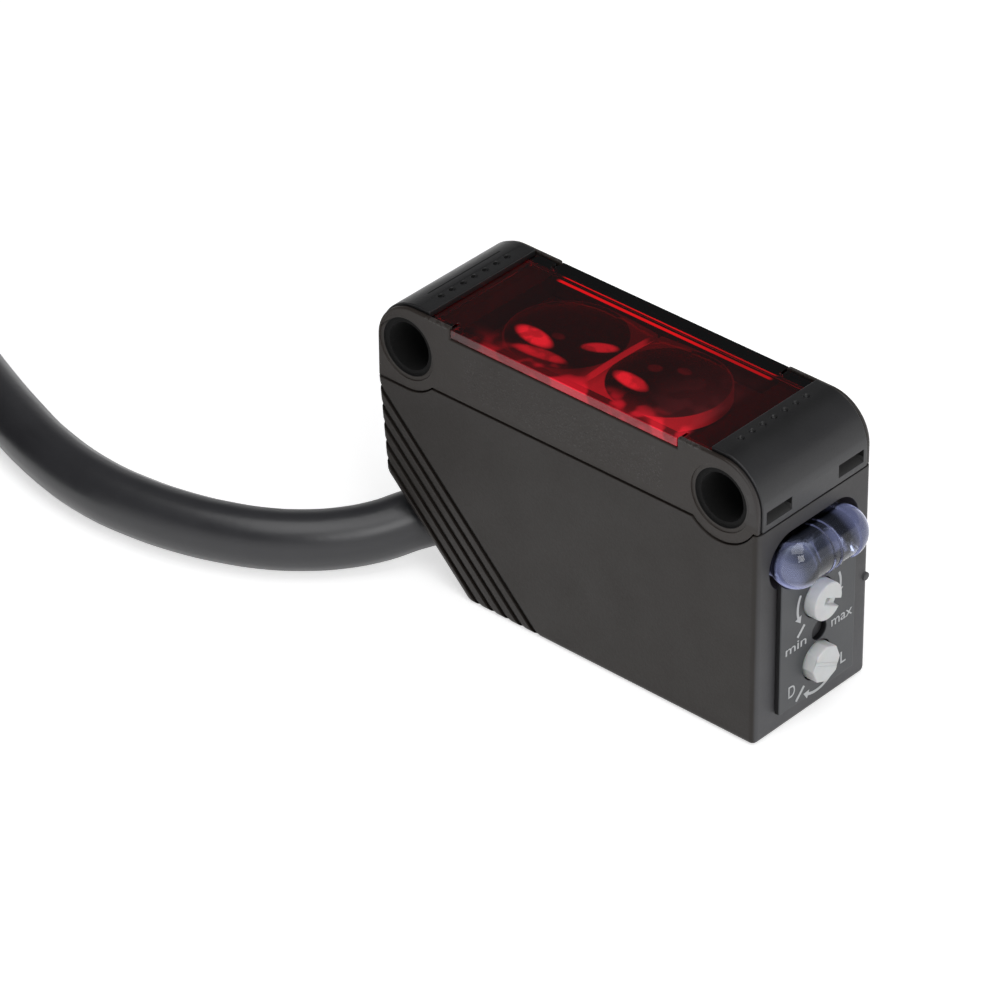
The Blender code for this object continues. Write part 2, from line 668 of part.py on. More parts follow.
def make_electronics():
    """Main board on edge in the case, with what is soldered to it."""
    chip = make_material("chip black", CHIP_BLACK, 0.35)
    face, back = 0.4, 1.2
    top = HOLDER_BASE - FIT * 2 - BOARD_THICKNESS
    trimmer_back = INNER_END_X - 2.54
    board = box("main_board", (-6.9, face, WALL + FIT), (trimmer_back - FIT, back, top))
    place(board, make_material("green board", BOARD_GREEN, 0.5))
    on_face = (("control_chip", 1.2, 5.0, 5.0, 8.8, 1.0),
               ("output_transistor", -4.2, -1.8, 2.6, 4.2, 1.1),
               ("supply_regulator", 6.4, 8.6, 2.4, 4.6, 1.2))
    for name, x0, x1, z0, z1, depth in on_face:
        place(box(name, (x0, face - FIT - depth, z0), (x1, face - FIT, z1)), chip)
    tan = make_material("tantalum", (0.65, 0.42, 0.08, 1.0), 0.4)
    for name, x0, z0, length in (("supply_capacitor", -3.6, 5.4, 3.5),
                                 ("filter_capacitor", 4.6, 2.6, 3.2)):
        place(box(name, (x0, back + FIT, z0), (x0 + length, back + FIT + 1.5, z0 + 2.2)), tan)
    body = make_material("trimmer body", (0.05, 0.12, 0.32, 1.0), 0.4)
    for name, hole, height in (("sensitivity_trimmer", "trimmer_bore", ADJUSTER_Z),
                               ("selector_switch", "switch_bore", SELECTOR_Z)):
        block = box(name, (trimmer_back, -1.7, height - 1.5), (INNER_END_X - FIT, 1.7, height + 1.5))
        place(block, body)
        cut(block, rod(hole, SHAFT_RADIUS + KNOB_CLEARANCE, (SHAFT_END_X - 0.1, 0, height),
                       (INNER_END_X + 1, 0, height)))
    for name, across, colour in (("stability_led", -CAPSULE_HALF, (0.25, 0.75, 0.2, 1.0)),
                                 ("operation_led", CAPSULE_HALF, (0.9, 0.45, 0.1, 1.0))):
        lamp = box(name, (INNER_END_X + 0.05, across - 0.48, CAPSULE_Z - 0.48),
                   (RECESS_FLOOR_X - 0.1, across + 0.48, CAPSULE_Z + 0.48))
        place(lamp, make_material(name + " lens", colour, 0.3))


def make_panel():
    """Raised dark plate round the two adjusters, cut away under the indicator."""
    half = PANEL_HALF_WIDTH
    top = CAPSULE_Z - 0.6
    outline = [(-half, PANEL_LOW), (half, PANEL_LOW), (half, top), (-half, top)]
    panel = plate("adjuster_panel", outline, PANEL_BACK_X, PANEL_FACE_X, 'X')
    place(panel, make_material("panel grey", PANEL_GREY, 0.4))
    cutaway = stadium(CAPSULE_HALF, CAPSULE_Z, CAPSULE_RADIUS + 0.1)
    behind, ahead = PANEL_BACK_X - 0.8, PANEL_FACE_X + 1.8
    cut(panel, plate("panel_cutaway", cutaway, behind, ahead, 'X'))
    for label, height in (("adjuster", ADJUSTER_Z), ("selector", SELECTOR_Z)):
        cut(panel, rod(label + "_panel_hole", KNOB_RADIUS + KNOB_CLEARANCE, (behind, 0, height),
                       (ahead, 0, height), sides=32))
    cut(panel, rod("panel_vent", VENT_RADIUS, (behind, 0.15, VENT_Z), (ahead, 0.15, VENT_Z),
                   sides=20))
    return panel


def make_indicator():
    """Smoky clear capsule over the two indicator lamps, with a foot in the recess."""
    dome = arc((0, CAPSULE_HALF), CAPSULE_RADIUS, 90, 0, 8)
    profile = dome + [(CAPSULE_WAIST, CAPSULE_HALF - 0.12)]
    for ridge in RIDGES:
        profile += [(CAPSULE_WAIST, ridge + 0.11), (CAPSULE_RADIUS - 0.03, ridge + 0.06),
                    (CAPSULE_RADIUS - 0.03, ridge - 0.06), (CAPSULE_WAIST, ridge - 0.11)]
    profile.append((CAPSULE_WAIST, 0.12 - CAPSULE_HALF))
    profile += [(radius, -height) for radius, height in reversed(dome)]
    profile[0] = (0.0, CAPSULE_HALF + CAPSULE_RADIUS)
    profile[-1] = (0.0, -CAPSULE_HALF - CAPSULE_RADIUS)
    window = turned("indicator_window", profile, (CAPSULE_X, 0, CAPSULE_Z), steps=24)
    window.rotation_euler = (math.radians(-90), 0, 0)
    place(window, make_material("smoky clear", SMOKE_BLUE, 0.06))
    join(window, plate("indicator_foot", stadium(CAPSULE_HALF, CAPSULE_Z, CAPSULE_WAIST - 0.12),
                       RECESS_FLOOR_X + FIT, CAPSULE_X, 'X'))
    return window


def make_knob(name, height, sides, slot_reach, slot_width, slot_depth):
    """White adjuster on its shaft, with a screwdriver slot that starts this far from its axis.

    Its origin is on the turning axis.
    """
    knob = rod(name, KNOB_RADIUS, (PANEL_BACK_X + 0.05, 0, 0), (KNOB_FACE_X, 0, 0), sides)
    place(knob, make_material("white POM", WHITE_POM, 0.4))
    shaft = rod(name + "_shaft", SHAFT_RADIUS, (SHAFT_END_X, 0, 0), (PANEL_BACK_X + 0.5, 0, 0))
    slot = box(name + "_slot", (KNOB_FACE_X - slot_depth, slot_reach, -slot_width / 2),
               (KNOB_FACE_X + 1, KNOB_RADIUS + 1, slot_width / 2))
    slot.data.transform(Matrix.Rotation(math.radians(KNOB_TILT), 4, 'X'))
    join(knob, shaft)
    cut(knob, slot)
    for piece in (knob, shaft, slot):
        piece.location = (0, 0, height * MM)
    return knob


def make_seal(name, height):
    """Rubber ring round an adjuster's shaft."""
    thickness = SEAL_POCKET_RADIUS - SHAFT_RADIUS - FIT * 2.5
    middle = SHAFT_RADIUS + (thickness + FIT * 3) / 2
    bpy.ops.mesh.primitive_torus_add(major_radius=middle * MM, minor_radius=thickness / 2 * MM,
                                     major_segments=24, minor_segments=8)
    ring = bpy.context.object
    ring.name = name
    pocket_middle = PANEL_END_X - 0.4
    ring.data.transform(Matrix.Translation((pocket_middle * MM, 0, height * MM))
                        @ Matrix.Rotation(math.radians(90), 4, 'Y'))
    place(ring, make_material("seal rubber", (0.02, 0.02, 0.02, 1.0), 0.7))
    return ring


def make_adjuster_end():
    make_panel()
    make_indicator()
    make_knob("sensitivity_adjuster", ADJUSTER_Z, 32, -0.35, SLOT_WIDTH, SLOT_DEPTH)
    make_knob("operation_selector", SELECTOR_Z, 8, -KNOB_RADIUS - 1, SLOT_WIDTH * 0.6,
              SLOT_DEPTH * 0.6)
    make_seal("adjuster_seal", ADJUSTER_Z)
    make_seal("selector_seal", SELECTOR_Z)


def make_cable_entry():
    """Ball-shaped bush in the slanted face, and what the cable ends in inside the case."""
    rubber = make_material("cable PVC", CABLE_BLACK, 0.45)
    bush = ball("cable_bush", BUSH_RADIUS, BUSH_CENTRE, 32, 20, pole=(1, 0, 1))
    place(bush, rubber)
    start = BUSH_CENTRE + EXIT_DIRECTION * (EXIT_REACH - 1.2)
    cut(bush, rod("cable_socket", SOCKET_RADIUS, start, start + EXIT_DIRECTION * 6))
    inward = -OUTWARD
    sheath_start = BUSH_CENTRE + inward * (BUSH_RADIUS + FIT)
    sheath_end = sheath_start + inward * 1.1
    place(rod("inner_sheath", CABLE_RADIUS, sheath_start, sheath_end), rubber)
    across = Vector((1, 0, -1)).normalized()
    cores = (("inner_core_brown", -1.25, 9.2, (0.16, 0.06, 0.02, 1.0)),
             ("inner_core_blue", 0.0, 7.6, (0.02, 0.08, 0.45, 1.0)),
             ("inner_core_black", 1.25, 6.0, (0.02, 0.02, 0.02, 1.0)))
    shift = Vector((0, -0.25, 0))
    for name, offset, pad_height, colour in cores:
        start = sheath_end + inward * 0.15 + across * offset + shift
        bend = start + inward * 0.7
        end = Vector((-5.6, shift.y, pad_height))
        near_end = end + Vector((-0.9, 0, 0))
        wire = tube(name, smooth_route([start, bend, near_end, end], 0.6), CORE_RADIUS)
        place(wire, make_material(name[6:], colour, 0.4))


def lead_route():
    """Hand-laid route of the cable from the bush over the floor to the coil."""
    start = BUSH_CENTRE + EXIT_DIRECTION * (EXIT_REACH - 0.6)
    low = CABLE_RADIUS + REST
    return [tuple(start), tuple(BUSH_CENTRE + EXIT_DIRECTION * 4.5), (-15.0, -5.6, 2.3),
            (-16.5, -7.6, 2.08), (-18.3, -9.4, low), (-20.2, -10.8, low), (-22.4, -11.9, low),
            (-25.1, -12.85, low), (-28.6, -13.55, low), (-32.3, -13.75, low),
            (-37.0, -13.1, low), (-42.0, -11.6, low), (-47.1, -9.7, low)]


COIL_BASE = TIE_THICKNESS + TIE_GAP / 2
COIL_INNER = COIL_OUTER - COIL_COLUMNS * CABLE_RADIUS * 2
SHELF_STEP = COIL_INNER + TOP_COLUMNS * CABLE_RADIUS * 2
SHELF_HEIGHT = COIL_BASE + 2 * CABLE_RADIUS + (COIL_ROWS - 1) * ROW_RISE
COIL_TOP = SHELF_HEIGHT + ROW_RISE


def coil_profile():
    """Section of the coil, from the top down its outer side.

    It is four turns wide and three high, with two more turns on top of its inner half.
    """
    r = CABLE_RADIUS
    return (arc((SHELF_STEP - r, COIL_TOP - r), r, 90, 0, 4) + [(SHELF_STEP, SHELF_HEIGHT)]
            + arc((COIL_OUTER - r, SHELF_HEIGHT - r), r, 90, 0, 4)
            + arc((COIL_OUTER - r, COIL_BASE + r), r, 0, -90, 4)
            + arc((COIL_INNER + r, COIL_BASE + r), r, 270, 180, 4)
            + arc((COIL_INNER + r, COIL_TOP - r), r, 180, 90, 4))


def tie_loop(grow):
    """A band pulled tight round the coil's section, this far outside it, in (x, z)."""
    r = CABLE_RADIUS
    slope = math.degrees(math.atan2(COIL_OUTER - SHELF_STEP, COIL_TOP - SHELF_HEIGHT))
    low = COIL_BASE + r + TIE_GAP / 2
    return (arc((COIL_OUTER - r, low), r + grow, -90, 0, 4)
            + arc((COIL_OUTER - r, SHELF_HEIGHT - r), r + grow, 0, slope, 4)
            + arc((SHELF_STEP - r, COIL_TOP - r), r + grow, slope, 90, 3)
            + arc((COIL_INNER + r, COIL_TOP - r), r + grow, 90, 180, 4)
            + arc((COIL_INNER + r, low), r + grow, 180, 270, 4))


def make_coil():
    """The rest of the cable, wound up and tied, past the cable end."""
    coil = turned("cable_coil", coil_profile(), (*COIL_CENTRE, 0), steps=48)
    place(coil, make_material("cable PVC", CABLE_BLACK, 0.45))
    half = TIE_WIDTH / 2
    tie = plate("cable_tie", tie_loop(TIE_GAP + TIE_THICKNESS), -half, half, 'Y')
    place(tie, make_material("tie", (0.03, 0.03, 0.03, 1.0), 0.5))
    hole = plate("tie_inside", tie_loop(TIE_GAP), -half - 1, half + 1, 'Y')
    cut(tie, hole)
    for piece in (tie, hole):
        piece.rotation_euler = (0, 0, math.radians(TIE_ANGLE))
        piece.location = (COIL_CENTRE[0] * MM, COIL_CENTRE[1] * MM, 0)


def coil_point(angle, radius, height):
    turn = math.radians(angle)
    return Vector((COIL_CENTRE[0] + radius * math.cos(turn),
                   COIL_CENTRE[1] + radius * math.sin(turn), height))


TAIL_RADIUS = SHELF_STEP + TOUCH + CABLE_RADIUS
TAIL_HEIGHT = SHELF_HEIGHT + TOUCH + CABLE_RADIUS


def tail_route():
    """Last stretch: it lies in the coil's shelf, beside the two top turns."""
    return [coil_point(TAIL_ANGLE + TAIL_SWEEP * step / TAIL_STEPS, TAIL_RADIUS, TAIL_HEIGHT)
            for step in range(TAIL_STEPS + 1)]


def make_cable():
    pvc = make_material("cable PVC", CABLE_BLACK, 0.45)
    place(tube("cable_lead", smooth_route(lead_route(), 3.0), CABLE_RADIUS, 3), pvc)
    place(tube("cable_tail", tail_route(), CABLE_RADIUS, 3), pvc)
    make_coil()
    make_bare_cores()


def make_bare_cores():
    """Three stripped cores fanned out on the coil's shelf, each with a bare tip."""
    tin = make_material("tinned copper", METAL, 0.3, 1.0)
    low = SHELF_HEIGHT + TOUCH + CORE_RADIUS
    fans = (("brown", -0.95, -0.2, 0.15, (0.16, 0.06, 0.02, 1.0)),
            ("blue", 0.95, 2.2, 0.15, (0.02, 0.08, 0.45, 1.0)),
            ("black", 0.0, 0.9, -1.05, (0.02, 0.02, 0.02, 1.0)))
    for colour, offset, spread, lift, shade in fans:
        knots = []
        for reach, share in ((TOUCH, 1.0), (3.0, 0.97), (7.5, 0.6), (12.5, 0.13), (18.0, 0.0),
                             (24.0, 0.0), (CORE_LENGTH, 0.0)):
            angle = TAIL_ANGLE + TAIL_SWEEP + math.degrees(reach / TAIL_RADIUS)
            radius = TAIL_RADIUS + offset + spread * (reach / CORE_LENGTH) ** 1.3
            knots.append(coil_point(angle, radius, low + (TAIL_HEIGHT + lift - low) * share))
        wire = smooth_route(knots, 2.5)
        insulation = make_material("core " + colour, shade, 0.4)
        place(tube("core_" + colour, wire, CORE_RADIUS), insulation)
        tip, before = Vector(wire[-1]), Vector(wire[-2])
        onward = (tip - before).normalized()
        bare = rod("conductor_" + colour, CONDUCTOR_RADIUS, tip + onward * 0.15,
                   tip + onward * CONDUCTOR_LENGTH, sides=8)
        place(bare, tin)


clear_scene()
PARTS = make_collection("photoelectric_sensor")
CUTTERS = make_collection("cutters")
DATUM = bpy.data.objects.new("mounting_hole_datum", None)
DATUM.location = (SHIFT_X * MM, 0, 0)
PARTS.objects.link(DATUM)
bpy.context.view_layer.update()

make_case()
make_front_frame()
end_block(1)
end_block(-1)
make_optics()
make_electronics()
make_adjuster_end()
make_cable_entry()
make_cable()
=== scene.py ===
"""A miniature retro-reflective photoelectric sensor on a pale studio floor.

Sizes are in millimetres from the middle of the two mounting holes, at the level of the flat
back. Each piece is brought onto the frame, in metres, when it is finished.
"""

import math

import bmesh
import bpy
from mathutils import Matrix, Vector


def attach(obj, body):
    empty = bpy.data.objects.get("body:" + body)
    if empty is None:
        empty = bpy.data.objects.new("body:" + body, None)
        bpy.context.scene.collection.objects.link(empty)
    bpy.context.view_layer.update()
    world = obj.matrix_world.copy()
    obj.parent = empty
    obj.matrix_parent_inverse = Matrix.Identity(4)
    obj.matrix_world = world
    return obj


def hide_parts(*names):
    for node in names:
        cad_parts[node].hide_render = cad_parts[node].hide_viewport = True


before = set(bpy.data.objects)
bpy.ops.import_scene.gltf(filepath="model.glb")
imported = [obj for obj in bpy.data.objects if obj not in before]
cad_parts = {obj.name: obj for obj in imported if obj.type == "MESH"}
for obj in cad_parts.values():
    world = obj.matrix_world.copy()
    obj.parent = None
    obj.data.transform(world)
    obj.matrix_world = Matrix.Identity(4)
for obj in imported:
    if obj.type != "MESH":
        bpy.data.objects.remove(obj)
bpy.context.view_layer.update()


# Camera
# A long lens about 37 cm away looks down at 34 degrees on the end with the adjusters. The aim
# is a little to one side, so that the cable runs out on the left.
MM = 0.001
DATUM = Vector((-1.295, 0, 0))
CAMERA_ROUND, CAMERA_UP, CAMERA_ROLL = (math.radians(a) for a in (42.205, 33.975, -0.491))
CAMERA_AWAY = 373.18
CAMERA_AIM = Vector((0, 0, 10))
CAMERA_RIGHT, CAMERA_RISE = -7.252, -1.267
CAMERA_LENS, CAMERA_FILM, CAMERA_CLIP = 216.757, 36, 0.01

back = Vector((math.sin(CAMERA_ROUND) * math.cos(CAMERA_UP),
               -math.cos(CAMERA_ROUND) * math.cos(CAMERA_UP), math.sin(CAMERA_UP)))
level = Vector((math.cos(CAMERA_ROUND), math.sin(CAMERA_ROUND), 0))
upward = back.cross(level)
right = level * math.cos(CAMERA_ROLL) + upward * math.sin(CAMERA_ROLL)
upward = back.cross(right)
stand = DATUM + CAMERA_AIM + back * CAMERA_AWAY + right * CAMERA_RIGHT + upward * CAMERA_RISE

camera = bpy.data.objects.new("camera", bpy.data.cameras.new("camera"))
bpy.context.scene.collection.objects.link(camera)
camera.data.lens = CAMERA_LENS
camera.data.sensor_width = CAMERA_FILM
camera.data.clip_start = CAMERA_CLIP
camera.matrix_world = Matrix.LocRotScale(
    stand * MM, Matrix((right, upward, back)).transposed().to_quaternion(), None)
bpy.context.scene.camera = camera


# Cable
# Two metres of round 4 mm vinyl cable with three cores. It leaves the bush low on the slanted
# corner, lies on the floor, and the rest is wound in one coil beyond the view.
CABLE = 4.0
FLOOR_GAP = 0.02
BUSH, BUSH_MOUTH = 2.9, CABLE / 2 + 0.1
IN_BUSH, CLEAR_OF_BUSH = 0.6, 4.5
BUSH_AT = Vector((-11.468, 0, 3.182))
EXIT = Vector((-0.545, -0.83, -0.115)).normalized()
COIL_AT = Vector((-72.5, -29.6, 0))
COIL_OUTER = 30.0
COIL_LOW = 0.55
COIL_RISE = 4.05
COIL_START = 68.0
COIL_TURNS = 14
TURNS_IN_ROW = 4
CROSSING = 0.2
POINTS_A_TURN = 24
CURVE_STEPS = 5
TOUCH = 0.3
SHELF = COIL_LOW + CABLE + 2 * COIL_RISE
TAIL_RADIUS = COIL_OUTER - 2 * CABLE + TOUCH + CABLE / 2
TAIL_HEIGHT = SHELF + TOUCH + CABLE / 2
TAIL_LEAD, TAIL_ANGLE, TAIL_SWEEP, TAIL_STEPS = 15, 113.0, 93.0, 8


class Nodes:
    """A tree of shader nodes that is built up node by node."""

    def __init__(self, tree):
        self.tree = tree

    def feed(self, socket, value):
        if isinstance(value, Wire):
            self.tree.links.new(value.socket, socket)
        elif isinstance(value, tuple) and len(value) == 3 and socket.type == 'RGBA':
            socket.default_value = (*value, 1.0)
        else:
            socket.default_value = value

    def node(self, kind, settings, inputs, output=0):
        made = self.tree.nodes.new(kind)
        for name, value in settings.items():
            setattr(made, name, value)
        for name, value in inputs.items():
            self.feed(made.inputs[name], value)
        return Wire(self, made.outputs[output])

    def axes(self, where):
        return [self.node('ShaderNodeSeparateXYZ', {}, {0: where}, k) for k in range(3)]

    def blend(self, amount, first, second):
        """Colour that goes from the first to the second as amount goes from 0 to 1."""
        return self.node('ShaderNodeMix', {"data_type": 'RGBA'},
                         {0: amount, 6: first, 7: second}, 2)


class Wire:
    """One socket of a tree. A sum written with it adds Math nodes."""

    def __init__(self, nodes, socket):
        self.nodes = nodes
        self.socket = socket

    def math(self, operation, first, second=0.5):
        return self.nodes.node('ShaderNodeMath', {"operation": operation}, {0: first, 1: second})

    def __add__(self, other):
        return self.math('ADD', self, other)

    __radd__ = __add__

    def __sub__(self, other):
        return self.math('SUBTRACT', self, other)

    def __rsub__(self, other):
        return self.math('SUBTRACT', other, self)

    def __mul__(self, other):
        return self.math('MULTIPLY', self, other)

    __rmul__ = __mul__

    def __abs__(self):
        return self.math('ABSOLUTE', self)

    def root(self):
        return self.math('SQRT', self)

    def most(self, other):
        return self.math('MAXIMUM', self, other)

    def rises(self, low, high):
        """0 below low, 1 above high, smooth between; with low over high it falls."""
        return self.nodes.node('ShaderNodeMapRange', {"interpolation_type": 'SMOOTHSTEP'},
                               {"Value": self, "From Min": low, "From Max": high})


class Finish(Nodes):
    """A material with one Principled shader."""

    def __init__(self, name, colour, roughness, **constants):
        self.material = bpy.data.materials.new(name)
        self.material.use_nodes = True
        super().__init__(self.material.node_tree)
        self.shader = self.tree.nodes["Principled BSDF"]
        self.set("Base Color", colour)
        self.set("Roughness", roughness)
        for socket, value in constants.items():
            self.set(socket.replace("_", " "), value)

    def set(self, name, value):
        self.feed(self.shader.inputs[name], value)

    def place(self):
        """Where a point of the piece is, in millimetres from the middle of the two holes."""
        where = self.node('ShaderNodeTexCoord', {}, {}, "Object")
        return self.node('ShaderNodeVectorMath', {"operation": 'MULTIPLY_ADD'},
                         {0: where, 1: (1 / MM, 1 / MM, 1 / MM), 2: tuple(-DATUM)})

    def noise(self, where, per_mm, detail=2.0, roughness=0.5):
        return self.node('ShaderNodeTexNoise', {}, {"Vector": where, "Scale": per_mm,
                                                    "Detail": detail, "Roughness": roughness})

    def bump(self, height, depth_mm, strength=1.0):
        self.set("Normal", self.node('ShaderNodeBump', {}, {
            "Height": height, "Distance": depth_mm * MM, "Strength": strength}))


def coil_point(angle, radius, height):
    turn = math.radians(angle)
    return COIL_AT + Vector((radius * math.cos(turn), radius * math.sin(turn), height))


def coil_seat(turn):
    """Radius and height of one whole turn: rows of four, out to in and back, bottom to top."""
    row, place = divmod(turn, TURNS_IN_ROW)
    if row % 2:
        place = TURNS_IN_ROW - 1 - place
    return COIL_OUTER - CABLE * (place + 0.5), COIL_LOW + CABLE / 2 + row * COIL_RISE


def cable_route():
    """The cable's centreline: along the floor, round the coil, then round on its shelf."""
    reach = math.sqrt(BUSH ** 2 - BUSH_MOUTH ** 2)
    low = CABLE / 2 + FLOOR_GAP
    knots = [BUSH_AT + EXIT * (reach - IN_BUSH), BUSH_AT + EXIT * CLEAR_OF_BUSH]
    floor_line = ((-15.0, -5.6, 2.3), (-16.5, -7.6, 2.08), (-18.3, -9.4, low),
                  (-20.2, -10.8, low), (-22.4, -11.9, low), (-25.1, -12.85, low),
                  (-28.6, -13.55, low), (-32.3, -13.75, low), (-37.0, -13.1, low),
                  (-42.0, -11.6, low), (-47.1, -9.7, low), (-54.5, -6.7, low + 0.2))
    knots += [Vector(point) for point in floor_line]
    seats = [coil_seat(turn) for turn in range(COIL_TURNS)] + [(TAIL_RADIUS, TAIL_HEIGHT)]
    for step in range(COIL_TURNS * POINTS_A_TURN + 1):
        turn = min(step // POINTS_A_TURN, COIL_TURNS - 1)
        share = step / POINTS_A_TURN - turn
        over = max(0.0, (share - (1 - CROSSING)) / CROSSING)
        over = over * over * (3 - 2 * over)
        radius, height = (here + (there - here) * over
                          for here, there in zip(seats[turn], seats[turn + 1]))
        knots.append(coil_point(COIL_START + 360 * (turn + share), radius, height))
    tail_start = COIL_START + TAIL_LEAD
    sweep = TAIL_ANGLE + TAIL_SWEEP - tail_start
    for step in range(TAIL_STEPS + 1):
        knots.append(coil_point(tail_start + sweep * step / TAIL_STEPS, TAIL_RADIUS, TAIL_HEIGHT))
    return knots


def onto_frame(point):
    return (Vector(point) + DATUM) * MM


def wire_curve(name, runs, diameter, sides=4):
    """A round wire, or several side by side, each on one smooth curve through its knots."""
    curve = bpy.data.curves.new(name, 'CURVE')
    curve.dimensions = '3D'
    curve.bevel_depth = diameter / 2 * MM
    curve.bevel_resolution = sides
    curve.use_fill_caps = True
    curve.resolution_u = CURVE_STEPS
    for knots in runs:
        spline = curve.splines.new('BEZIER')
        spline.bezier_points.add(len(knots) - 1)
        for knot, point in zip(spline.bezier_points, knots):
            knot.co = onto_frame(point)
            knot.handle_left_type = knot.handle_right_type = 'AUTO'
    wire = bpy.data.objects.new(name, curve)
    bpy.context.scene.collection.objects.link(wire)
    return wire


def vinyl():
    finish = Finish("dark grey vinyl", (0.02, 0.02, 0.023), 0.34, Specular_IOR_Level=0.62)
    where = finish.place()
    finish.bump(finish.noise(where, 1.6, 3.0), 0.012)
    cloud = finish.noise(where, 0.35, 2.0)
    finish.set("Roughness", 0.28 + cloud * 0.12)
    finish.set("Base Color", finish.blend(cloud, (0.024, 0.024, 0.027), (0.036, 0.036, 0.04)))
    return finish.material


VINYL = vinyl()
route = cable_route()
cable = wire_curve("cable", [route], CABLE, 6)
cable.data.materials.append(VINYL)
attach(cable, "sensor")
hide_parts("cable_lead", "cable_coil", "cable_tail")


# Tie and bare ends
# A flat nylon band holds the coil. The three cores lie on its shelf, past the end of the
# sheath, for 30 mm, and each ends in about 7 mm of twisted tinned strands.
ONTO_FRAME = Matrix.Scale(MM, 4) @ Matrix.Translation(DATUM)
SHARP = 35.0
TIE_ANGLE, TIE_WIDTH, TIE_THICKNESS, TIE_GAP = 32.0, 3.0, 0.4, 0.12
CORE, CORE_LENGTH = 1.1, 30.0
# How far past the sheath's end, and the share of the sheath's height that is left there
CORE_FALL = ((TOUCH, 1.0), (3.0, 0.97), (7.5, 0.6), (12.5, 0.13), (18.0, 0.0), (24.0, 0.0),
             (CORE_LENGTH, 0.0))
# Colour, place beside the cable's middle, how far it spreads by its end, and its lift
CORES = (("brown", (0.2, 0.075, 0.03), -0.95, -0.2, 0.15),
         ("blue", (0.02, 0.1, 0.5), 0.95, 2.2, 0.15),
         ("black", (0.02, 0.02, 0.022), 0.0, 0.9, -1.05))
CORE_BEND = 1.3
STRANDS, STRAND, STRAND_TURN, STRAND_STEPS, STRAND_GAP = 6, 0.18, 4.0, 10, 0.1
CONDUCTOR_LENGTH = 7.2


def arc(centre, radius, start, end, steps):
    """Points of an arc, from one angle in degrees to another, both ends included."""
    turns = [math.radians(start + (end - start) * step / steps) for step in range(steps + 1)]
    return [(centre[0] + radius * math.cos(turn), centre[1] + radius * math.sin(turn))
            for turn in turns]


def belt(corners, radius, steps=8):
    """Outline of a belt pulled round equal pulleys, given counterclockwise."""
    outline = []
    around = zip(corners[-1:] + corners[:-1], corners, corners[1:] + corners[:1])
    for before, here, after in around:
        start = math.degrees(math.atan2(here[1] - before[1], here[0] - before[0])) - 90
        end = math.degrees(math.atan2(after[1] - here[1], after[0] - here[0])) - 90
        outline += arc(here, radius, start, end + 360 * (end < start), steps)
    return outline


def slab(name, outline, low, high, axis):
    """A flat outline given thickness along one axis: (y, z) along X, (x, z) along Y, or (x, y)."""
    order = {'X': (2, 0, 1), 'Y': (0, 2, 1), 'Z': (0, 1, 2)}[axis]
    shape = bmesh.new()
    spots = [(first, second, low) for first, second in outline]
    face = shape.faces.new([shape.verts.new([spot[k] for k in order]) for spot in spots])
    grown = bmesh.ops.extrude_face_region(shape, geom=[face])["geom"]
    along = Vector([(0, 0, high - low)[k] for k in order])
    bmesh.ops.translate(shape, verts=[v for v in grown if isinstance(v, bmesh.types.BMVert)],
                        vec=along)
    return made(name, shape)


def made(name, shape):
    """An object, still in millimetres, of a finished shape."""
    bmesh.ops.recalc_face_normals(shape, faces=shape.faces)
    mesh = bpy.data.meshes.new(name)
    shape.to_mesh(mesh)
    shape.free()
    piece = bpy.data.objects.new(name, mesh)
    bpy.context.scene.collection.objects.link(piece)
    return piece


def settle(piece):
    """Applies the piece's modifiers."""
    bpy.context.view_layer.update()
    mesh = bpy.data.meshes.new_from_object(
        piece.evaluated_get(bpy.context.evaluated_depsgraph_get()))
    piece.modifiers.clear()
    piece.data = mesh
    return piece


def carve(piece, cutters, operation='DIFFERENCE'):
    """Cuts the others out of a piece, or joins them to it, and removes them."""
    for cutter in cutters:
        change = piece.modifiers.new(cutter.name, 'BOOLEAN')
        change.operation = operation
        change.object = cutter
    settle(piece)
    for cutter in cutters:
        bpy.data.objects.remove(cutter, do_unlink=True)
    return piece


def fit(piece, material, body, slot, *nodes):
    """Brings a finished piece onto the frame in place of its plain solids."""
    piece.data.transform(ONTO_FRAME)
    piece.data.materials.clear()
    piece.data.materials.append(material)
    piece.data.shade_smooth()
    piece.data.set_sharp_from_angle(angle=math.radians(SHARP))
    even = piece.modifiers.new("Even light", 'WEIGHTED_NORMAL')
    even.keep_sharp = True
    settle(piece)
    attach(piece, body)
    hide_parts(*nodes)
    return piece


def nylon():
    finish = Finish("black nylon", (0.03, 0.03, 0.03), 0.5)
    where = finish.place()
    grain = finish.noise(where, 3.0, 3.0)
    finish.set("Roughness", 0.42 + grain * 0.2)
    finish.bump(grain, 0.02)
    return finish.material


def insulation(name, colour):
    finish = Finish(name, colour, 0.4)
    cloud = finish.noise(finish.place(), 0.8, 2.0)
    finish.set("Base Color", finish.blend(cloud, colour, tuple(0.75 * c for c in colour)))
    finish.set("Roughness", 0.32 + cloud * 0.15)
    return finish.material


def tin():
    finish = Finish("tinned copper", (0.72, 0.70, 0.66), 0.3, Metallic=1.0)
    cloud = finish.noise(finish.place(), 2.5, 3.0)
    finish.set("Roughness", 0.22 + cloud * 0.25)
    finish.set("Base Color", finish.blend(cloud, (0.76, 0.74, 0.71), (0.62, 0.56, 0.48)))
    return finish.material


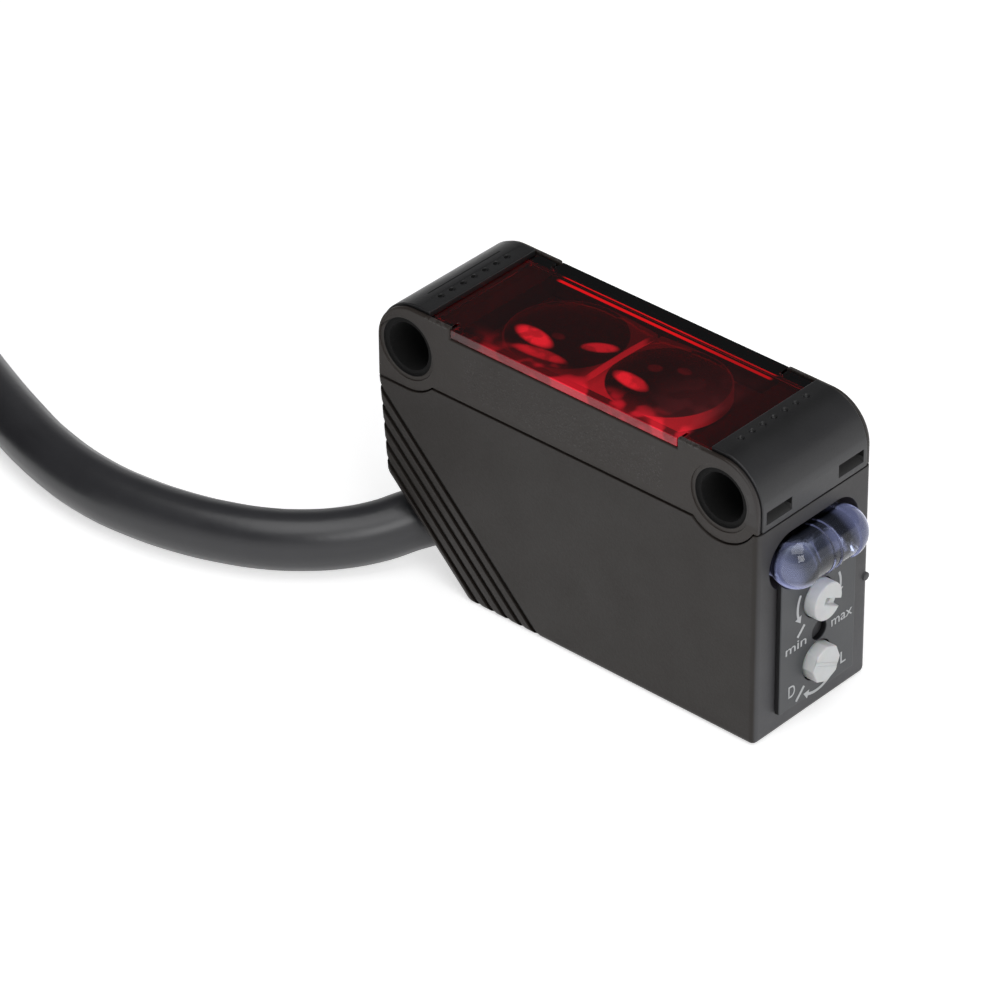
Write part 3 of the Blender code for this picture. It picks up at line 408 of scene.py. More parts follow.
def make_tie():
    low = COIL_LOW + CABLE / 2
    inner, outer = COIL_OUTER - CABLE * (TURNS_IN_ROW - 0.5), COIL_OUTER - CABLE / 2
    last, first = coil_seat(COIL_TURNS - 1), coil_seat(COIL_TURNS - 2)
    half_over = ((last[0] + TAIL_RADIUS) / 2, (last[1] + TAIL_HEIGHT) / 2)
    corners = [(inner, low), (outer, low), (outer, SHELF - CABLE / 2), half_over, first]
    reach = CABLE / 2 + TIE_GAP
    tie = slab("coil_tie", belt(corners, reach + TIE_THICKNESS),
               -TIE_WIDTH / 2, TIE_WIDTH / 2, 'Y')
    carve(tie, [slab("tie_inside", belt(corners, reach), -TIE_WIDTH, TIE_WIDTH, 'Y')])
    tie.data.transform(Matrix.Translation(COIL_AT)
                       @ Matrix.Rotation(math.radians(TIE_ANGLE), 4, 'Z'))
    return fit(tie, nylon(), "sensor", "tie_black", "cable_tie")


def core_knots(offset, spread, lift):
    """Line of one core, from the end of the sheath down to the coil's shelf."""
    low = SHELF + TOUCH + CORE / 2
    for reach, share in CORE_FALL:
        angle = TAIL_ANGLE + TAIL_SWEEP + math.degrees(reach / TAIL_RADIUS)
        radius = TAIL_RADIUS + offset + spread * (reach / CORE_LENGTH) ** CORE_BEND
        yield coil_point(angle, radius, low + (TAIL_HEIGHT + lift - low) * share)


def strands(tip, onward):
    """Strands twisted round a straight one, past the end of a core."""
    side = onward.cross(Vector((0, 0, 1))).normalized()
    rise = side.cross(onward)
    start = tip + onward * STRAND_GAP
    runs = [[start + onward * CONDUCTOR_LENGTH * k / 4 for k in range(5)]]
    for strand in range(STRANDS):
        run = []
        for step in range(STRAND_STEPS + 1):
            reach = CONDUCTOR_LENGTH * step / STRAND_STEPS
            turn = math.radians(360 / STRANDS * strand) + reach / STRAND_TURN * math.tau
            run.append(start + onward * reach
                       + (side * math.cos(turn) + rise * math.sin(turn)) * STRAND)
        runs.append(run)
    return runs


ends = [make_tie()]
TIN = tin()
for shade, colour, offset, spread, lift in CORES:
    knots = list(core_knots(offset, spread, lift))
    core = wire_curve(shade + "_core", [knots], CORE, 4)
    core.data.materials.append(insulation(shade + " insulation", colour))
    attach(core, "sensor")
    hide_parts("core_" + shade)
    onward = (knots[-1] - knots[-2]).normalized()
    bare = wire_curve(shade + "_strands", strands(knots[-1], onward), STRAND, 1)
    bare.data.materials.append(TIN)
    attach(bare, "sensor")
    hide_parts("conductor_" + shade)
    ends += [core, bare]

tuple(onto_frame(route[0]))


# Case
# The main housing is one deep cup moulded in black PBT, with a fine spark-eroded skin. Its
# slanted corner, where the cable comes out, has five grooves, and one end face is cut for the
# lamps' window and the two adjusters' shafts.
HEIGHT, HALF_WIDTH = 20.0, 5.4
CABLE_END, PANEL_END = -15.25, 15.75
CORNER, EDGE = 3.2, 0.45
TAPER = 0.6
SLANT = -7.72
WALL = 1.0
INNER_END, INNER_TOP = 13.2, 22
HOLES, HOLE_Z = (-12.7, 12.7), 16.9
HOLE, MOUTH, RING = 1.65, 2.0, 2.27
BOSS = 2.95
SEAM_GAP, SEAM_Z, SEAM_CABLE_END, SEAM_PANEL_END = 0.08, 14.82, 13.95, 15.5
GROOVES, FIRST_GROOVE, GROOVE_PITCH, GROOVE_WIDTH, GROOVE_DEPTH = 5, -1.85, 1.215, 0.36, 0.25
GROOVE_ACROSS, GROOVE_LONG = 7, 16
LATCH_NEAR, LATCH_FAR, LATCH_LOW, LATCH_HIGH, LATCH_DEPTH = 2.2, 4.57, 15.95, 16.85, 1.6
GATE, GATE_IN, GATE_Z, GATE_STANDS = 0.28, 0.33, 7.3, 0.12
WINDOW_Z, WINDOW_HALF, WINDOW_RADIUS = 12.3, 2.07, 1.74
RECESS, RECESS_FLOOR = 2.05, 14.3
LIGHT_HOLE = 0.75
ADJUSTERS = (8.6, 3.95)
SHAFT, SEAL, SEAL_DEPTH = 0.7, 1.25, 0.75
WARM = (1.15, 0.8, 0.6)
# Where cutters end that go right through: past both ends, across, below and above
PAST, ACROSS, BELOW, ABOVE = 3, 8, -4, 26


def peg(name, radius, start, end, sides=40, end_radius=None):
    """A round cutter between two points, tapered if it has a second radius."""
    start, end = Vector(start), Vector(end)
    shape = bmesh.new()
    turn = (end - start).to_track_quat('Z', 'Y').to_matrix().to_4x4()
    bmesh.ops.create_cone(shape, cap_ends=True, segments=sides, radius1=radius,
                          radius2=radius if end_radius is None else end_radius,
                          depth=(end - start).length,
                          matrix=Matrix.Translation((start + end) / 2) @ turn)
    return made(name, shape)


def brick(name, low, high):
    """A block between two opposite corners."""
    outline = [(low[0], low[1]), (high[0], low[1]), (high[0], high[1]), (low[0], high[1])]
    return slab(name, outline, low[2], high[2], 'Z')


def soften(piece, width, segments=3, angle=SHARP):
    """Rounds the piece's sharp edges."""
    edge = piece.modifiers.new("Rounded edges", 'BEVEL')
    edge.width = width
    edge.segments = segments
    edge.limit_method = 'ANGLE'
    edge.angle_limit = math.radians(angle)
    edge.use_clamp_overlap = False
    return settle(piece)


def side_view(inset=0.0):
    """The whole body from the side, with its slanted corner."""
    left, right_end = CABLE_END + inset, PANEL_END - inset
    slant = SLANT + inset * math.sqrt(2)
    shoulder = left + TAPER
    return ([(right_end, inset)]
            + arc((right_end - CORNER, HEIGHT - inset - CORNER), CORNER, 0, 90, 24)
            + arc((left + CORNER, HEIGHT - inset - CORNER), CORNER, 90, 180, 24)
            + [(left, SEAM_CABLE_END), (shoulder, slant - shoulder), (slant - inset, inset)])


def seam_line(gap):
    """Line between case and frame, which dips round the two bosses, from the panel end."""
    reach = BOSS + gap
    middle = math.degrees(math.asin((SEAM_Z - gap - HOLE_Z) / reach))
    panel = math.degrees(math.asin((SEAM_PANEL_END - gap - HOLE_Z) / reach))
    return ([(PANEL_END + PAST, SEAM_PANEL_END - gap)]
            + arc((HOLES[1], HOLE_Z), reach, panel, -180 - middle, 28)
            + arc((HOLES[0], HOLE_Z), reach, middle, -90, 16)
            + [(CABLE_END - PAST, SEAM_CABLE_END - gap)])


def slot_outline(half, middle, radius, steps=20):
    """A slot with round ends, in (y, z)."""
    return (arc((half, middle), radius, -90, 90, steps)
            + arc((-half, middle), radius, 90, 270, steps))


def groove_cutters():
    """Slanted plates with the body's core left out of them, so that only its skin is cut."""
    for index in range(GROOVES):
        reach = FIRST_GROOVE - GROOVE_PITCH * index
        half = GROOVE_WIDTH / 2
        cutter = brick(f"groove_{index + 1}", (-half, -GROOVE_ACROSS, -GROOVE_LONG),
                       (half, GROOVE_ACROSS, GROOVE_LONG))
        middle = (reach + CABLE_END) / 2
        cutter.data.transform(Matrix.Translation((middle, 0, reach - middle))
                              @ Matrix.Rotation(math.radians(-45), 4, 'Y'))
        within = HALF_WIDTH - GROOVE_DEPTH
        yield carve(cutter, [slab("groove_core", side_view(GROOVE_DEPTH), -within, within, 'Y')])


def moulded_black(name, tone, roughness, tint, textured=False):
    """Black PBT: a fine eroded grain, faint flow clouds and, on the frame's band, pale specks.
    Painted light pales the faces at the panel end and the latches' ledges, and painted shade
    darkens the insides of the screw holes, the pits and the latch windows.
    """
    skin = Finish(name, (tone, tone, tone), roughness, Specular_IOR_Level=0.4)
    where = skin.place()
    x, y, z = skin.axes(where)
    grain = skin.noise(where, 6.0, 4.0, 0.6)
    cloud = skin.noise(where, 0.32, 3.0)
    # Painted light: the faces at the panel end are paler, most at their foot, and so is the top of
    # that end above it, where the lamp from the right falls.
    end_face_light = x.rises(15.55, 15.72) * (z.rises(16.0, 1.0) * 0.55 + 0.45)
    end_face_light = end_face_light.most(x.rises(12.8, 15.0) * z.rises(15.8, 16.2) * 0.25)
    # Painted shade fills the latch windows, and a painted highlight lies on the ledge in their
    # lower part.
    latch = (x.rises(14.0, 14.1) * x.rises(PANEL_END - 0.04, PANEL_END - 0.08)
             * abs(y).rises(LATCH_NEAR - 0.1, LATCH_NEAR - 0.05)
             * abs(y).rises(LATCH_FAR + 0.05, LATCH_FAR + 0.01)
             * z.rises(LATCH_LOW - 0.1, LATCH_LOW - 0.05)
             * z.rises(LATCH_HIGH + 0.05, LATCH_HIGH + 0.01))
    ledge = latch * z.rises(16.36, 16.26)
    # Painted shade in the pits of each end block's row of seven.
    pit = (abs(abs(x + 0.3) - 12.0).rises(0.45, 0.4) * z.rises(HEIGHT - 0.03, HEIGHT - 0.06)
           * z.rises(HEIGHT - 0.4, HEIGHT - 0.3))
    pale = cloud * 0.35
    # Painted shade: inside gathers the screw holes' bores, the pits and the latch windows, which
    # are painted near black and made rough.
    inside = 0.0
    for hole_x in HOLES:
        across, up = x - hole_x, z - HOLE_Z
        bore_shade = (across * across + up * up).rises(MOUTH ** 2 + 0.16, MOUTH ** 2)
        inside = bore_shade * abs(y).rises(5.25, 5.2) + inside
    inside = inside.most(pit * abs(y).rises(3.4, 3.3)).most(latch - ledge)
    height = grain
    if textured:
        band = (x.rises(-8.2, -7.4) * x.rises(8.4, 7.8) * z.rises(15.2, 15.8) * z.rises(18.6, 18.2)
                * abs(y).rises(5.1, 5.2))
        specks = skin.noise(where, 5.5, 3.0, 0.65).rises(0.52, 0.66) * band
        marks = (abs(abs(x) - 10.2).rises(1.0, 0.7) * abs(y).rises(4.85, 4.95)
                 * z.rises(19.6, 19.75) * skin.noise(where, 4.0, 2.0).rises(0.45, 0.55))
        pale = pale + specks * 1.6 + marks * 5.0
        height = grain + specks * 1.2 + marks * 2.0
    lit = skin.blend(pale, tuple(tone * share for share in tint),
                     tuple(tone * (share + 1.5) for share in tint))
    lit = skin.blend(end_face_light, lit, (0.08, 0.08, 0.085))
    lit = skin.blend(ledge, lit, (0.06, 0.06, 0.06))
    skin.set("Base Color", skin.blend(inside, lit, (0.001, 0.001, 0.001)))
    dull = roughness + (cloud - 0.5) * 0.22 + (grain - 0.5) * 0.15
    skin.set("Roughness", dull.most(inside * 0.95))
    skin.bump(height, 0.02, 0.5)
    return skin.material


def make_case():
    case = slab("case_shell", side_view(), -HALF_WIDTH, HALF_WIDTH, 'Y')
    soften(case, EDGE, 5)
    above = seam_line(SEAM_GAP) + [(CABLE_END - PAST, ABOVE), (PANEL_END + PAST, ABOVE)]
    slant = SLANT + WALL * math.sqrt(2)
    inner = CABLE_END + TAPER + WALL
    hollow = [(INNER_END, WALL), (INNER_END, INNER_TOP), (inner, INNER_TOP),
              (inner, slant - inner), (slant - WALL, WALL)]
    within = HALF_WIDTH - WALL - 0.05
    gate = HALF_WIDTH - GATE_IN
    nub = peg("gate_mark", GATE, (PANEL_END - 0.4, gate, GATE_Z),
              (PANEL_END + GATE_STANDS, gate, GATE_Z), 16)
    carve(case, [nub], 'UNION')
    cutters = [slab("above_seam", above, -ACROSS, ACROSS, 'Y'), *groove_cutters(),
               slab("hollow", hollow, -within, within, 'Y'),
               slab("lamp_recess", slot_outline(WINDOW_HALF + 0.1, WINDOW_Z, RECESS),
                    RECESS_FLOOR, PANEL_END + 2, 'X')]
    for height in ADJUSTERS:
        cutters += [peg("shaft_hole", SHAFT + 0.08, (INNER_END - 1, 0, height),
                        (PANEL_END + 1, 0, height)),
                    peg("seal_pocket", SEAL, (PANEL_END - SEAL_DEPTH, 0, height),
                        (PANEL_END + 1, 0, height))]
    for across in (-WINDOW_HALF, WINDOW_HALF):
        cutters.append(peg("light_hole", LIGHT_HOLE, (INNER_END - 1, across, WINDOW_Z),
                           (RECESS_FLOOR + 0.5, across, WINDOW_Z)))
    seat = bmesh.new()
    bmesh.ops.create_uvsphere(seat, u_segments=40, v_segments=24, radius=BUSH + 0.06,
                              matrix=Matrix.Translation(BUSH_AT))
    cutters += [made("bush_seat", seat),
                peg("cable_relief", CABLE / 2 + TOUCH, BUSH_AT, BUSH_AT + EXIT * 9)]
    carve(case, cutters)
    soften(case, 0.05, 2, 45)
    black = moulded_black("case black", 0.011, 0.5, WARM)
    return fit(case, black, "sensor", "black_matte", "case")


make_case()


# Front frame
# The upper housing is a second moulding. It carries the two bosses for the mounting screws and
# the side walls of the lens well, and its side has a coarser textured band under the window.
FRAME_HALF = 5.3
CHEEK_TOP = 19.8
LIP = 19.03
WINDOW_LEFT, WINDOW_RIGHT = -9.1, 9.3
PLATE_LEFT, PLATE_RIGHT = -10.95, 11.55
WINDOW_LOW, WINDOW_TOP = 18.55, 19.7
WELL_HALF = 4.4
BLOCK_HALF = 4.92
TUBE = 1.95
MOUTH_DEPTH, RING_DEPTH = 0.22, 0.08


def boss_room(side):
    """Room for an end block over its boss, and the ledge for the window's end."""
    centre = (HOLES[side > 0], HOLE_Z)
    inner = (WINDOW_RIGHT if side > 0 else WINDOW_LEFT) - side * 0.6
    step = (PLATE_RIGHT if side > 0 else PLATE_LEFT) + side * 0.05
    outer = centre[0] + side * TUBE
    ledge = WINDOW_LOW - SEAM_GAP
    rise = math.degrees(math.acos(abs(step - centre[0]) / TUBE))
    start, end = (180 - rise, 0) if side > 0 else (rise, 180)
    low = (SEAM_PANEL_END if side > 0 else SEAM_CABLE_END) - 4
    outline = ([(inner, 24), (inner, ledge), (step, ledge)] + arc(centre, TUBE, start, end, 24)
               + [(outer, low), (outer + side * 5, low), (outer + side * 5, 24)])
    half = BLOCK_HALF + SEAM_GAP
    return slab("boss_room", outline, -half, half, 'Y')


def make_frame():
    left, right_end = CABLE_END + 0.1, PANEL_END - 0.1
    outline = ([(left, 12), (right_end, 12)]
               + arc((right_end - BOSS, CHEEK_TOP - BOSS), BOSS, 0, 90, 24)
               + [(WINDOW_RIGHT, CHEEK_TOP), (WINDOW_RIGHT, LIP), (WINDOW_LEFT, LIP),
                  (WINDOW_LEFT, CHEEK_TOP)]
               + arc((left + BOSS, CHEEK_TOP - BOSS), BOSS, 90, 180, 24))
    shell = slab("frame_shell", outline, -FRAME_HALF, FRAME_HALF, 'Y')
    soften(shell, 0.12, 3)
    below = seam_line(0) + [(CABLE_END - PAST, BELOW), (PANEL_END + PAST, BELOW)]
    cutters = [slab("below_seam", below, -ACROSS, ACROSS, 'Y'),
               brick("lens_well", (WINDOW_LEFT - 0.05, -WELL_HALF, 8),
                     (WINDOW_RIGHT + 0.05, WELL_HALF, 24)),
               boss_room(1), boss_room(-1)]
    for x in HOLES:
        cutters.append(peg("screw_hole", HOLE, (x, -ACROSS, HOLE_Z), (x, ACROSS, HOLE_Z), 64))
        for side in (-1, 1):
            for radius, depth in ((RING, RING_DEPTH), (MOUTH, MOUTH_DEPTH)):
                cutters.append(peg("hole_step", radius, (x, side * (FRAME_HALF - depth), HOLE_Z),
                                   (x, side * 7, HOLE_Z), 64))
    carve(shell, cutters)
    soften(shell, 0.035, 2, 45)
    black = moulded_black("frame black", 0.016, 0.46, WARM, True)
    return fit(shell, black, "sensor", "black_matte", "front_frame")


make_frame()


# End blocks
# Two satin black mouldings wrap over the bosses and down the end faces. Each has a row of
# seven small pits along its step, and two windows where it snaps over the case's latches.
DOTS, DOT_PITCH, DOT, DOT_DEPTH, DOT_FROM_STEP = 7, 1.02, 0.24, 0.18, 0.75


def make_end_block(name, side):
    centre = (HOLES[side > 0], HOLE_Z)
    end = PANEL_END if side > 0 else CABLE_END
    step = (PLATE_RIGHT if side > 0 else PLATE_LEFT) + side * 0.1
    low = SEAM_PANEL_END if side > 0 else SEAM_CABLE_END + SEAM_GAP
    inside = TUBE + SEAM_GAP
    rise = math.degrees(math.acos(abs(step - centre[0]) / inside))
    corner = (end - side * CORNER, HEIGHT - CORNER)
    start, inner = (0, (180 - rise, 0)) if side > 0 else (180, (rise, 180))
    outline = ([(end, low)] + arc(corner, CORNER, start, 90, 30) + [(step, HEIGHT)]
               + arc(centre, inside, *inner, 24) + [(centre[0] + side * inside, low)])
    block = slab(name, outline, -BLOCK_HALF, BLOCK_HALF, 'Y')
    soften(block, 0.09, 3, 40)
    row = step + side * DOT_FROM_STEP
    cutters = []
    for index in range(DOTS):
        y = (index - (DOTS - 1) / 2) * DOT_PITCH
        cutters.append(peg("pit", DOT * 0.75, (row, y, HEIGHT - DOT_DEPTH),
                           (row, y, HEIGHT + 0.1), 20, DOT * 1.15))
    for near, far in ((-LATCH_FAR, -LATCH_NEAR), (LATCH_NEAR, LATCH_FAR)):
        deep = end - side * LATCH_DEPTH
        room = [(end + side, LATCH_LOW), (end + side, LATCH_HIGH), (deep, LATCH_HIGH),
                (deep, LATCH_LOW + 0.5), (end - side * 0.1, LATCH_LOW)]
        cutters.append(slab("latch_window", room, near, far, 'Y'))
    carve(block, cutters)
    soften(block, 0.03, 2, 45)
    return fit(block, SATIN, "sensor", "black_gloss", name)


SATIN = moulded_black("satin black", 0.012, 0.35, (1.0, 1.0, 1.05))
make_end_block("end_block_panel_end", 1)
make_end_block("end_block_cable_end", -1)


# Window
# One clear red polyarylate plate, polished on top. A rib under it fits into the lens well.
# Its near edge, parts of its top and the far face of its rib have painted glow, emission that
# stands in for light running along inside the plastic.
RIB_HALF = WELL_HALF - 0.06
WINDOW_GAP, NOTCH = 0.05, 0.15
CLEAR_RED = (0.8, 0.012, 0.026)


def tint_shadow(plastic, colour):
    """Lets the lamps through a clear piece, in one colour."""
    shadow = plastic.node('ShaderNodeLightPath', {}, {}, "Is Shadow Ray")
    tinted = plastic.node('ShaderNodeBsdfTransparent', {}, {"Color": colour})
    solid = Wire(plastic, plastic.shader.outputs[0])
    both = plastic.node('ShaderNodeMixShader', {}, {0: shadow, 1: solid, 2: tinted})
    plastic.feed(plastic.tree.nodes["Material Output"].inputs["Surface"], both)


def red_plastic():
    clear = Finish("clear red", CLEAR_RED, 0.01, IOR=1.5, Transmission_Weight=1.0,
                   Emission_Strength=1.0)
    where = clear.place()
    x, y, z = clear.axes(where)
    # Painted light: glow as emission along the near skirt, over the top near that side and at the
    # panel end, and a bright painted reflection on the rib's far face.
    drift = clear.noise(where, 0.7, 1.0)
    patch = drift.rises(0.42, 0.6)
    along = x.rises(-9.0, -2.0) * x.rises(9.7, 9.1)
    skirt_glow = y.rises(-5.17, -5.23) * (along * 0.85 + 0.12) * (patch * 0.6 + 0.5)
    top = z.rises(19.6, 19.68) * along
    near = top * y.rises(-3.2, -4.9) * (patch * 0.9 + 0.12)
    panel_end = top * x.rises(3.5, 8.5) * y.rises(4.2, -3.0) * (patch * 0.5 + 0.6)
    far_rib_glint = (z.rises(18.62, 18.58) * x.rises(-8.6, -8.1) * x.rises(9.0, 8.6)
               * y.rises(3.9, 3.95) * y.rises(4.2, 4.15))
    far_rib_glint = far_rib_glint * (x.rises(6.0, 1.0) * 0.4 + 0.6)
    painted_glow = clear.blend(skirt_glow, (0.0, 0.0, 0.0), (0.42, 0.01, 0.024))
    for share, colour in ((near, (0.4, 0.004, 0.012)), (panel_end, (0.04, 0.005, 0.006)),
                          (far_rib_glint, (0.8, 0.02, 0.03))):
        painted_glow = clear.node('ShaderNodeMix', {"data_type": 'RGBA', "blend_type": 'ADD'},
                          {0: share, 6: painted_glow, 7: colour}, 2)
    clear.set("Emission Color", painted_glow)
    # Painted shade: the far edge is black so no light shows through it there; the near skirt is a
    # deeper red.
    deep = clear.blend(y.rises(-5.1, -5.15), CLEAR_RED, (0.14, 0.001, 0.003))
    clear.set("Base Color", clear.blend(y.rises(4.4, 4.5), deep, (0.001, 0.0, 0.0)))
    tint_shadow(clear, (0.12, 0.006, 0.006))
    return clear.material


def make_window():
    half, narrow = FRAME_HALF - WINDOW_GAP, BLOCK_HALF
    left, right_end = WINDOW_LEFT + WINDOW_GAP, WINDOW_RIGHT - WINDOW_GAP
    notch_left, notch_right = WINDOW_LEFT - NOTCH, WINDOW_RIGHT + NOTCH
    quarter = [(PLATE_RIGHT, narrow), (notch_right, narrow), (notch_right, RIB_HALF),
               (right_end, RIB_HALF), (right_end, half), (left, half), (left, RIB_HALF),
               (notch_left, RIB_HALF), (notch_left, narrow), (PLATE_LEFT, narrow)]
    outline = quarter + [(x, -y) for x, y in reversed(quarter)]
    window = slab("red_window", outline, LIP + WINDOW_GAP, WINDOW_TOP, 'Z')
    rib = brick("window_rib", (PLATE_LEFT, -RIB_HALF, WINDOW_LOW),
                (PLATE_RIGHT, RIB_HALF, LIP + 0.3))
    carve(window, [rib], 'UNION')
    soften(window, 0.05, 3, 45)
    return fit(window, red_plastic(), "sensor", "clear_red", "front_window")


make_window()


# Lenses
# Two D-shaped lenses, flat sides together, one for the beam going out and one for the beam
# coming back. Seen through the red window they look nearly black; the bright slivers near
# their edges, the rims round them and the line between them are painted highlights.
LENS, LENS_X, LENS_GAP, LENS_LOW, LENS_TOP, LENS_DOME = 4.0, 4.1, 0.15, 17.25, 18.45, 40.0
# Each painted sliver's place in x and y, its length and width, its turn in degrees and its
# strength
PAINTED_SLIVERS = ((-5.4, -1.6, 1.9, 0.8, -12, 1.0), (-3.9, -2.8, 2.2, 0.55, 8, 0.5),
           (-1.5, 0.1, 1.3, 0.6, 38, 0.6), (2.35, -1.5, 1.7, 0.7, -10, 1.0),
           (2.6, 0.5, 0.6, 0.5, 0, 0.08), (4.2, 1.4, 0.6, 0.45, 0, 0.06),
           (-4.2, -0.7, 0.55, 0.4, 0, 0.06))


def lens_plastic():
    lens = Finish("moulded lens", (0.01, 0.01, 0.009), 0.12, Emission_Strength=1.0)
    where = lens.place()
    x, y = lens.axes(where)[:2]
    # Painted highlights, as emission: bright slivers near the lenses' near edges, thin rims round
    # them and a line where they meet.
    light = 0.0
    for at_x, at_y, length, width, turn, strength in PAINTED_SLIVERS:
        lean = math.radians(turn)
        over, up = x - at_x, y - at_y
        u = (over * math.cos(lean) + up * math.sin(lean)) * (1 / length)
        v = (up * math.cos(lean) - over * math.sin(lean)) * (1 / width)
        light = (u * u + v * v).rises(1.0, 0.3) * strength + light
    light = light * (lens.noise(where, 1.1, 1.0).rises(0.36, 0.52) * 0.4 + 0.6)
    from_middle = abs(x) - LENS_X
    painted_rim = (from_middle * from_middle + y * y).root().rises(LENS - 0.16, LENS - 0.06)
    light = light + painted_rim * (y.rises(0.5, -2.5) * x.rises(-1.0, 1.0) * 0.35 + 0.05)
    light = light + abs(x).rises(0.3, 0.22) * y.rises(3.4, 2.4) * y.rises(-3.0, -2.2) * 0.35
    lens.set("Emission Color", lens.blend(light, (0.0, 0.0, 0.0), (0.95, 0.9, 0.85)))
    lens.set("Roughness", 0.08 + lens.noise(where, 1.5) * 0.1)
    return lens.material


def make_lens(name, side, material):
    middle = side * LENS_X
    start, end = (-90, 90) if side > 0 else (90, 270)
    outline = arc((middle, 0), LENS, start, end, 60) + [(side * LENS_GAP, side * LENS),
                                                        (side * LENS_GAP, -side * LENS)]
    lens = slab(name + "_moulding", outline, LENS_LOW, LENS_TOP, 'Z')
    ball = bmesh.new()
    bmesh.ops.create_uvsphere(ball, u_segments=160, v_segments=120, radius=LENS_DOME,
                              matrix=Matrix.Translation((middle, 0, LENS_TOP - LENS_DOME)))
    carve(lens, [made("dome", ball)], 'INTERSECT')
    soften(lens, 0.06, 2, 45)
    return fit(lens, material, "sensor", "clear_lens", name)


LENS_PLASTIC = lens_plastic()
make_lens("emitter_lens", 1, LENS_PLASTIC)
make_lens("receiver_lens", -1, LENS_PLASTIC)


# Adjuster panel
# A dark grey plate stands 0.45 mm proud round the two adjusters. Its marks are printed in
# white: arrows from "min" to "max" round the upper one, from "L" to "D" round the lower one.
PANEL_HALF, PANEL_LOW, PANEL_HIGH = 3.55, 1.6, 11.7
PANEL_BACK, PANEL_FACE = 15.8, 16.2
CUT_FROM, CUT_TO = 15, 18
KNOB, KNOB_CLEAR, KNOB_FACE = 1.3, 0.08, 17.0
VENT_Y, VENT_Z, VENT = 0.15, 6.1, 0.7
PRINT, PRINT_SUNK, LINE, HEAD = 0.015, 0.01, 0.2, 0.5


def panel_grey():
    finish = Finish("panel grey", (0.06, 0.062, 0.068), 0.42, Specular_IOR_Level=0.5)
    where = finish.place()
    grain = finish.noise(where, 5.0, 4.0, 0.6)
    face = finish.blend(finish.noise(where, 0.4), (0.045, 0.048, 0.053), (0.068, 0.071, 0.075))
    # Painted shade: the panel's side walls, below its face, are painted near black.
    edge = finish.axes(where)[0].rises(PANEL_FACE - 0.05, PANEL_FACE - 0.09)
    finish.set("Base Color", finish.blend(edge, face, (0.008, 0.008, 0.009)))
    finish.set("Roughness", 0.36 + grain * 0.16)
    finish.bump(grain, 0.01, 0.4)
    return finish.material


def white_ink():
    ink = Finish("white print", (0.6, 0.61, 0.62), 0.5)
    ink.set("Roughness", 0.45 + ink.noise(ink.place(), 4.0) * 0.15)
    return ink.material


def ink_shape(name, outline):
    return slab(name, outline, PANEL_FACE - PRINT_SUNK, PANEL_FACE + PRINT, 'X')


def stroke(name, start, end):
    """A straight printed line, in (y, z)."""
    start, end = Vector(start), Vector(end)
    along = (end - start).normalized() * LINE / 2
    side = Vector((-along.y, along.x))
    corners = [start - side, end - side, end + side, start + side]
    return ink_shape(name, [tuple(corner) for corner in corners])


def sweep_arrow(name, centre, radius, start, end, width=LINE):
    """A printed arc with an arrow head at its end."""
    direction = 1 if end > start else -1
    outer = arc(centre, radius + width / 2, start, end, 16)
    inner = arc(centre, radius - width / 2, end, start, 16)
    tip = arc(centre, radius, end + direction * math.degrees(HEAD / radius), end, 1)[0]
    wings = [arc(centre, radius + swing, end, end, 1)[0] for swing in (HEAD * 0.6, -HEAD * 0.6)]
    return ink_shape(name, outer + [wings[0], tip, wings[1]] + inner)


def lettering(word, left, low, width, height):
    """Plain printed letters, upright on the panel, between two corners in (y, z)."""
    text = bpy.data.curves.new(word, 'FONT')
    text.body = word
    text.extrude = 0.05
    holder = bpy.data.objects.new(word, text)
    bpy.context.scene.collection.objects.link(holder)
    bpy.context.view_layer.update()
    mesh = bpy.data.meshes.new_from_object(
        holder.evaluated_get(bpy.context.evaluated_depsgraph_get()))
    bpy.data.objects.remove(holder, do_unlink=True)
    xs, ys = [v.co.x for v in mesh.vertices], [v.co.y for v in mesh.vertices]
    wide, tall = max(xs) - min(xs), max(ys) - min(ys)
    for v in mesh.vertices:
        v.co = (PANEL_FACE + (PRINT if v.co.z > 0 else -PRINT_SUNK),
                left + (v.co.x - min(xs)) / wide * width,
                low + (v.co.y - min(ys)) / tall * height)
    shape = bmesh.new()
    shape.from_mesh(mesh)
    return made("word_" + word, shape)


def make_panel():
    outline = [(-PANEL_HALF, PANEL_LOW), (PANEL_HALF, PANEL_LOW), (PANEL_HALF, PANEL_HIGH),
               (-PANEL_HALF, PANEL_HIGH)]
    panel = slab("panel_plate", outline, PANEL_BACK, PANEL_FACE, 'X')
    soften(panel, 0.07, 3)
    cutters = [slab("under_window", slot_outline(WINDOW_HALF, WINDOW_Z, WINDOW_RADIUS + 0.1),
                    CUT_FROM, CUT_TO, 'X'),
               peg("vent", VENT, (CUT_FROM, VENT_Y, VENT_Z), (CUT_TO, VENT_Y, VENT_Z))]
    for height in ADJUSTERS:
        cutters.append(peg("adjuster_hole", KNOB + KNOB_CLEAR, (CUT_FROM, 0, height),
                           (CUT_TO, 0, height), 64))
    carve(panel, cutters)
    soften(panel, 0.03, 2, 45)
    return fit(panel, panel_grey(), "sensor", "panel_grey", "adjuster_panel")


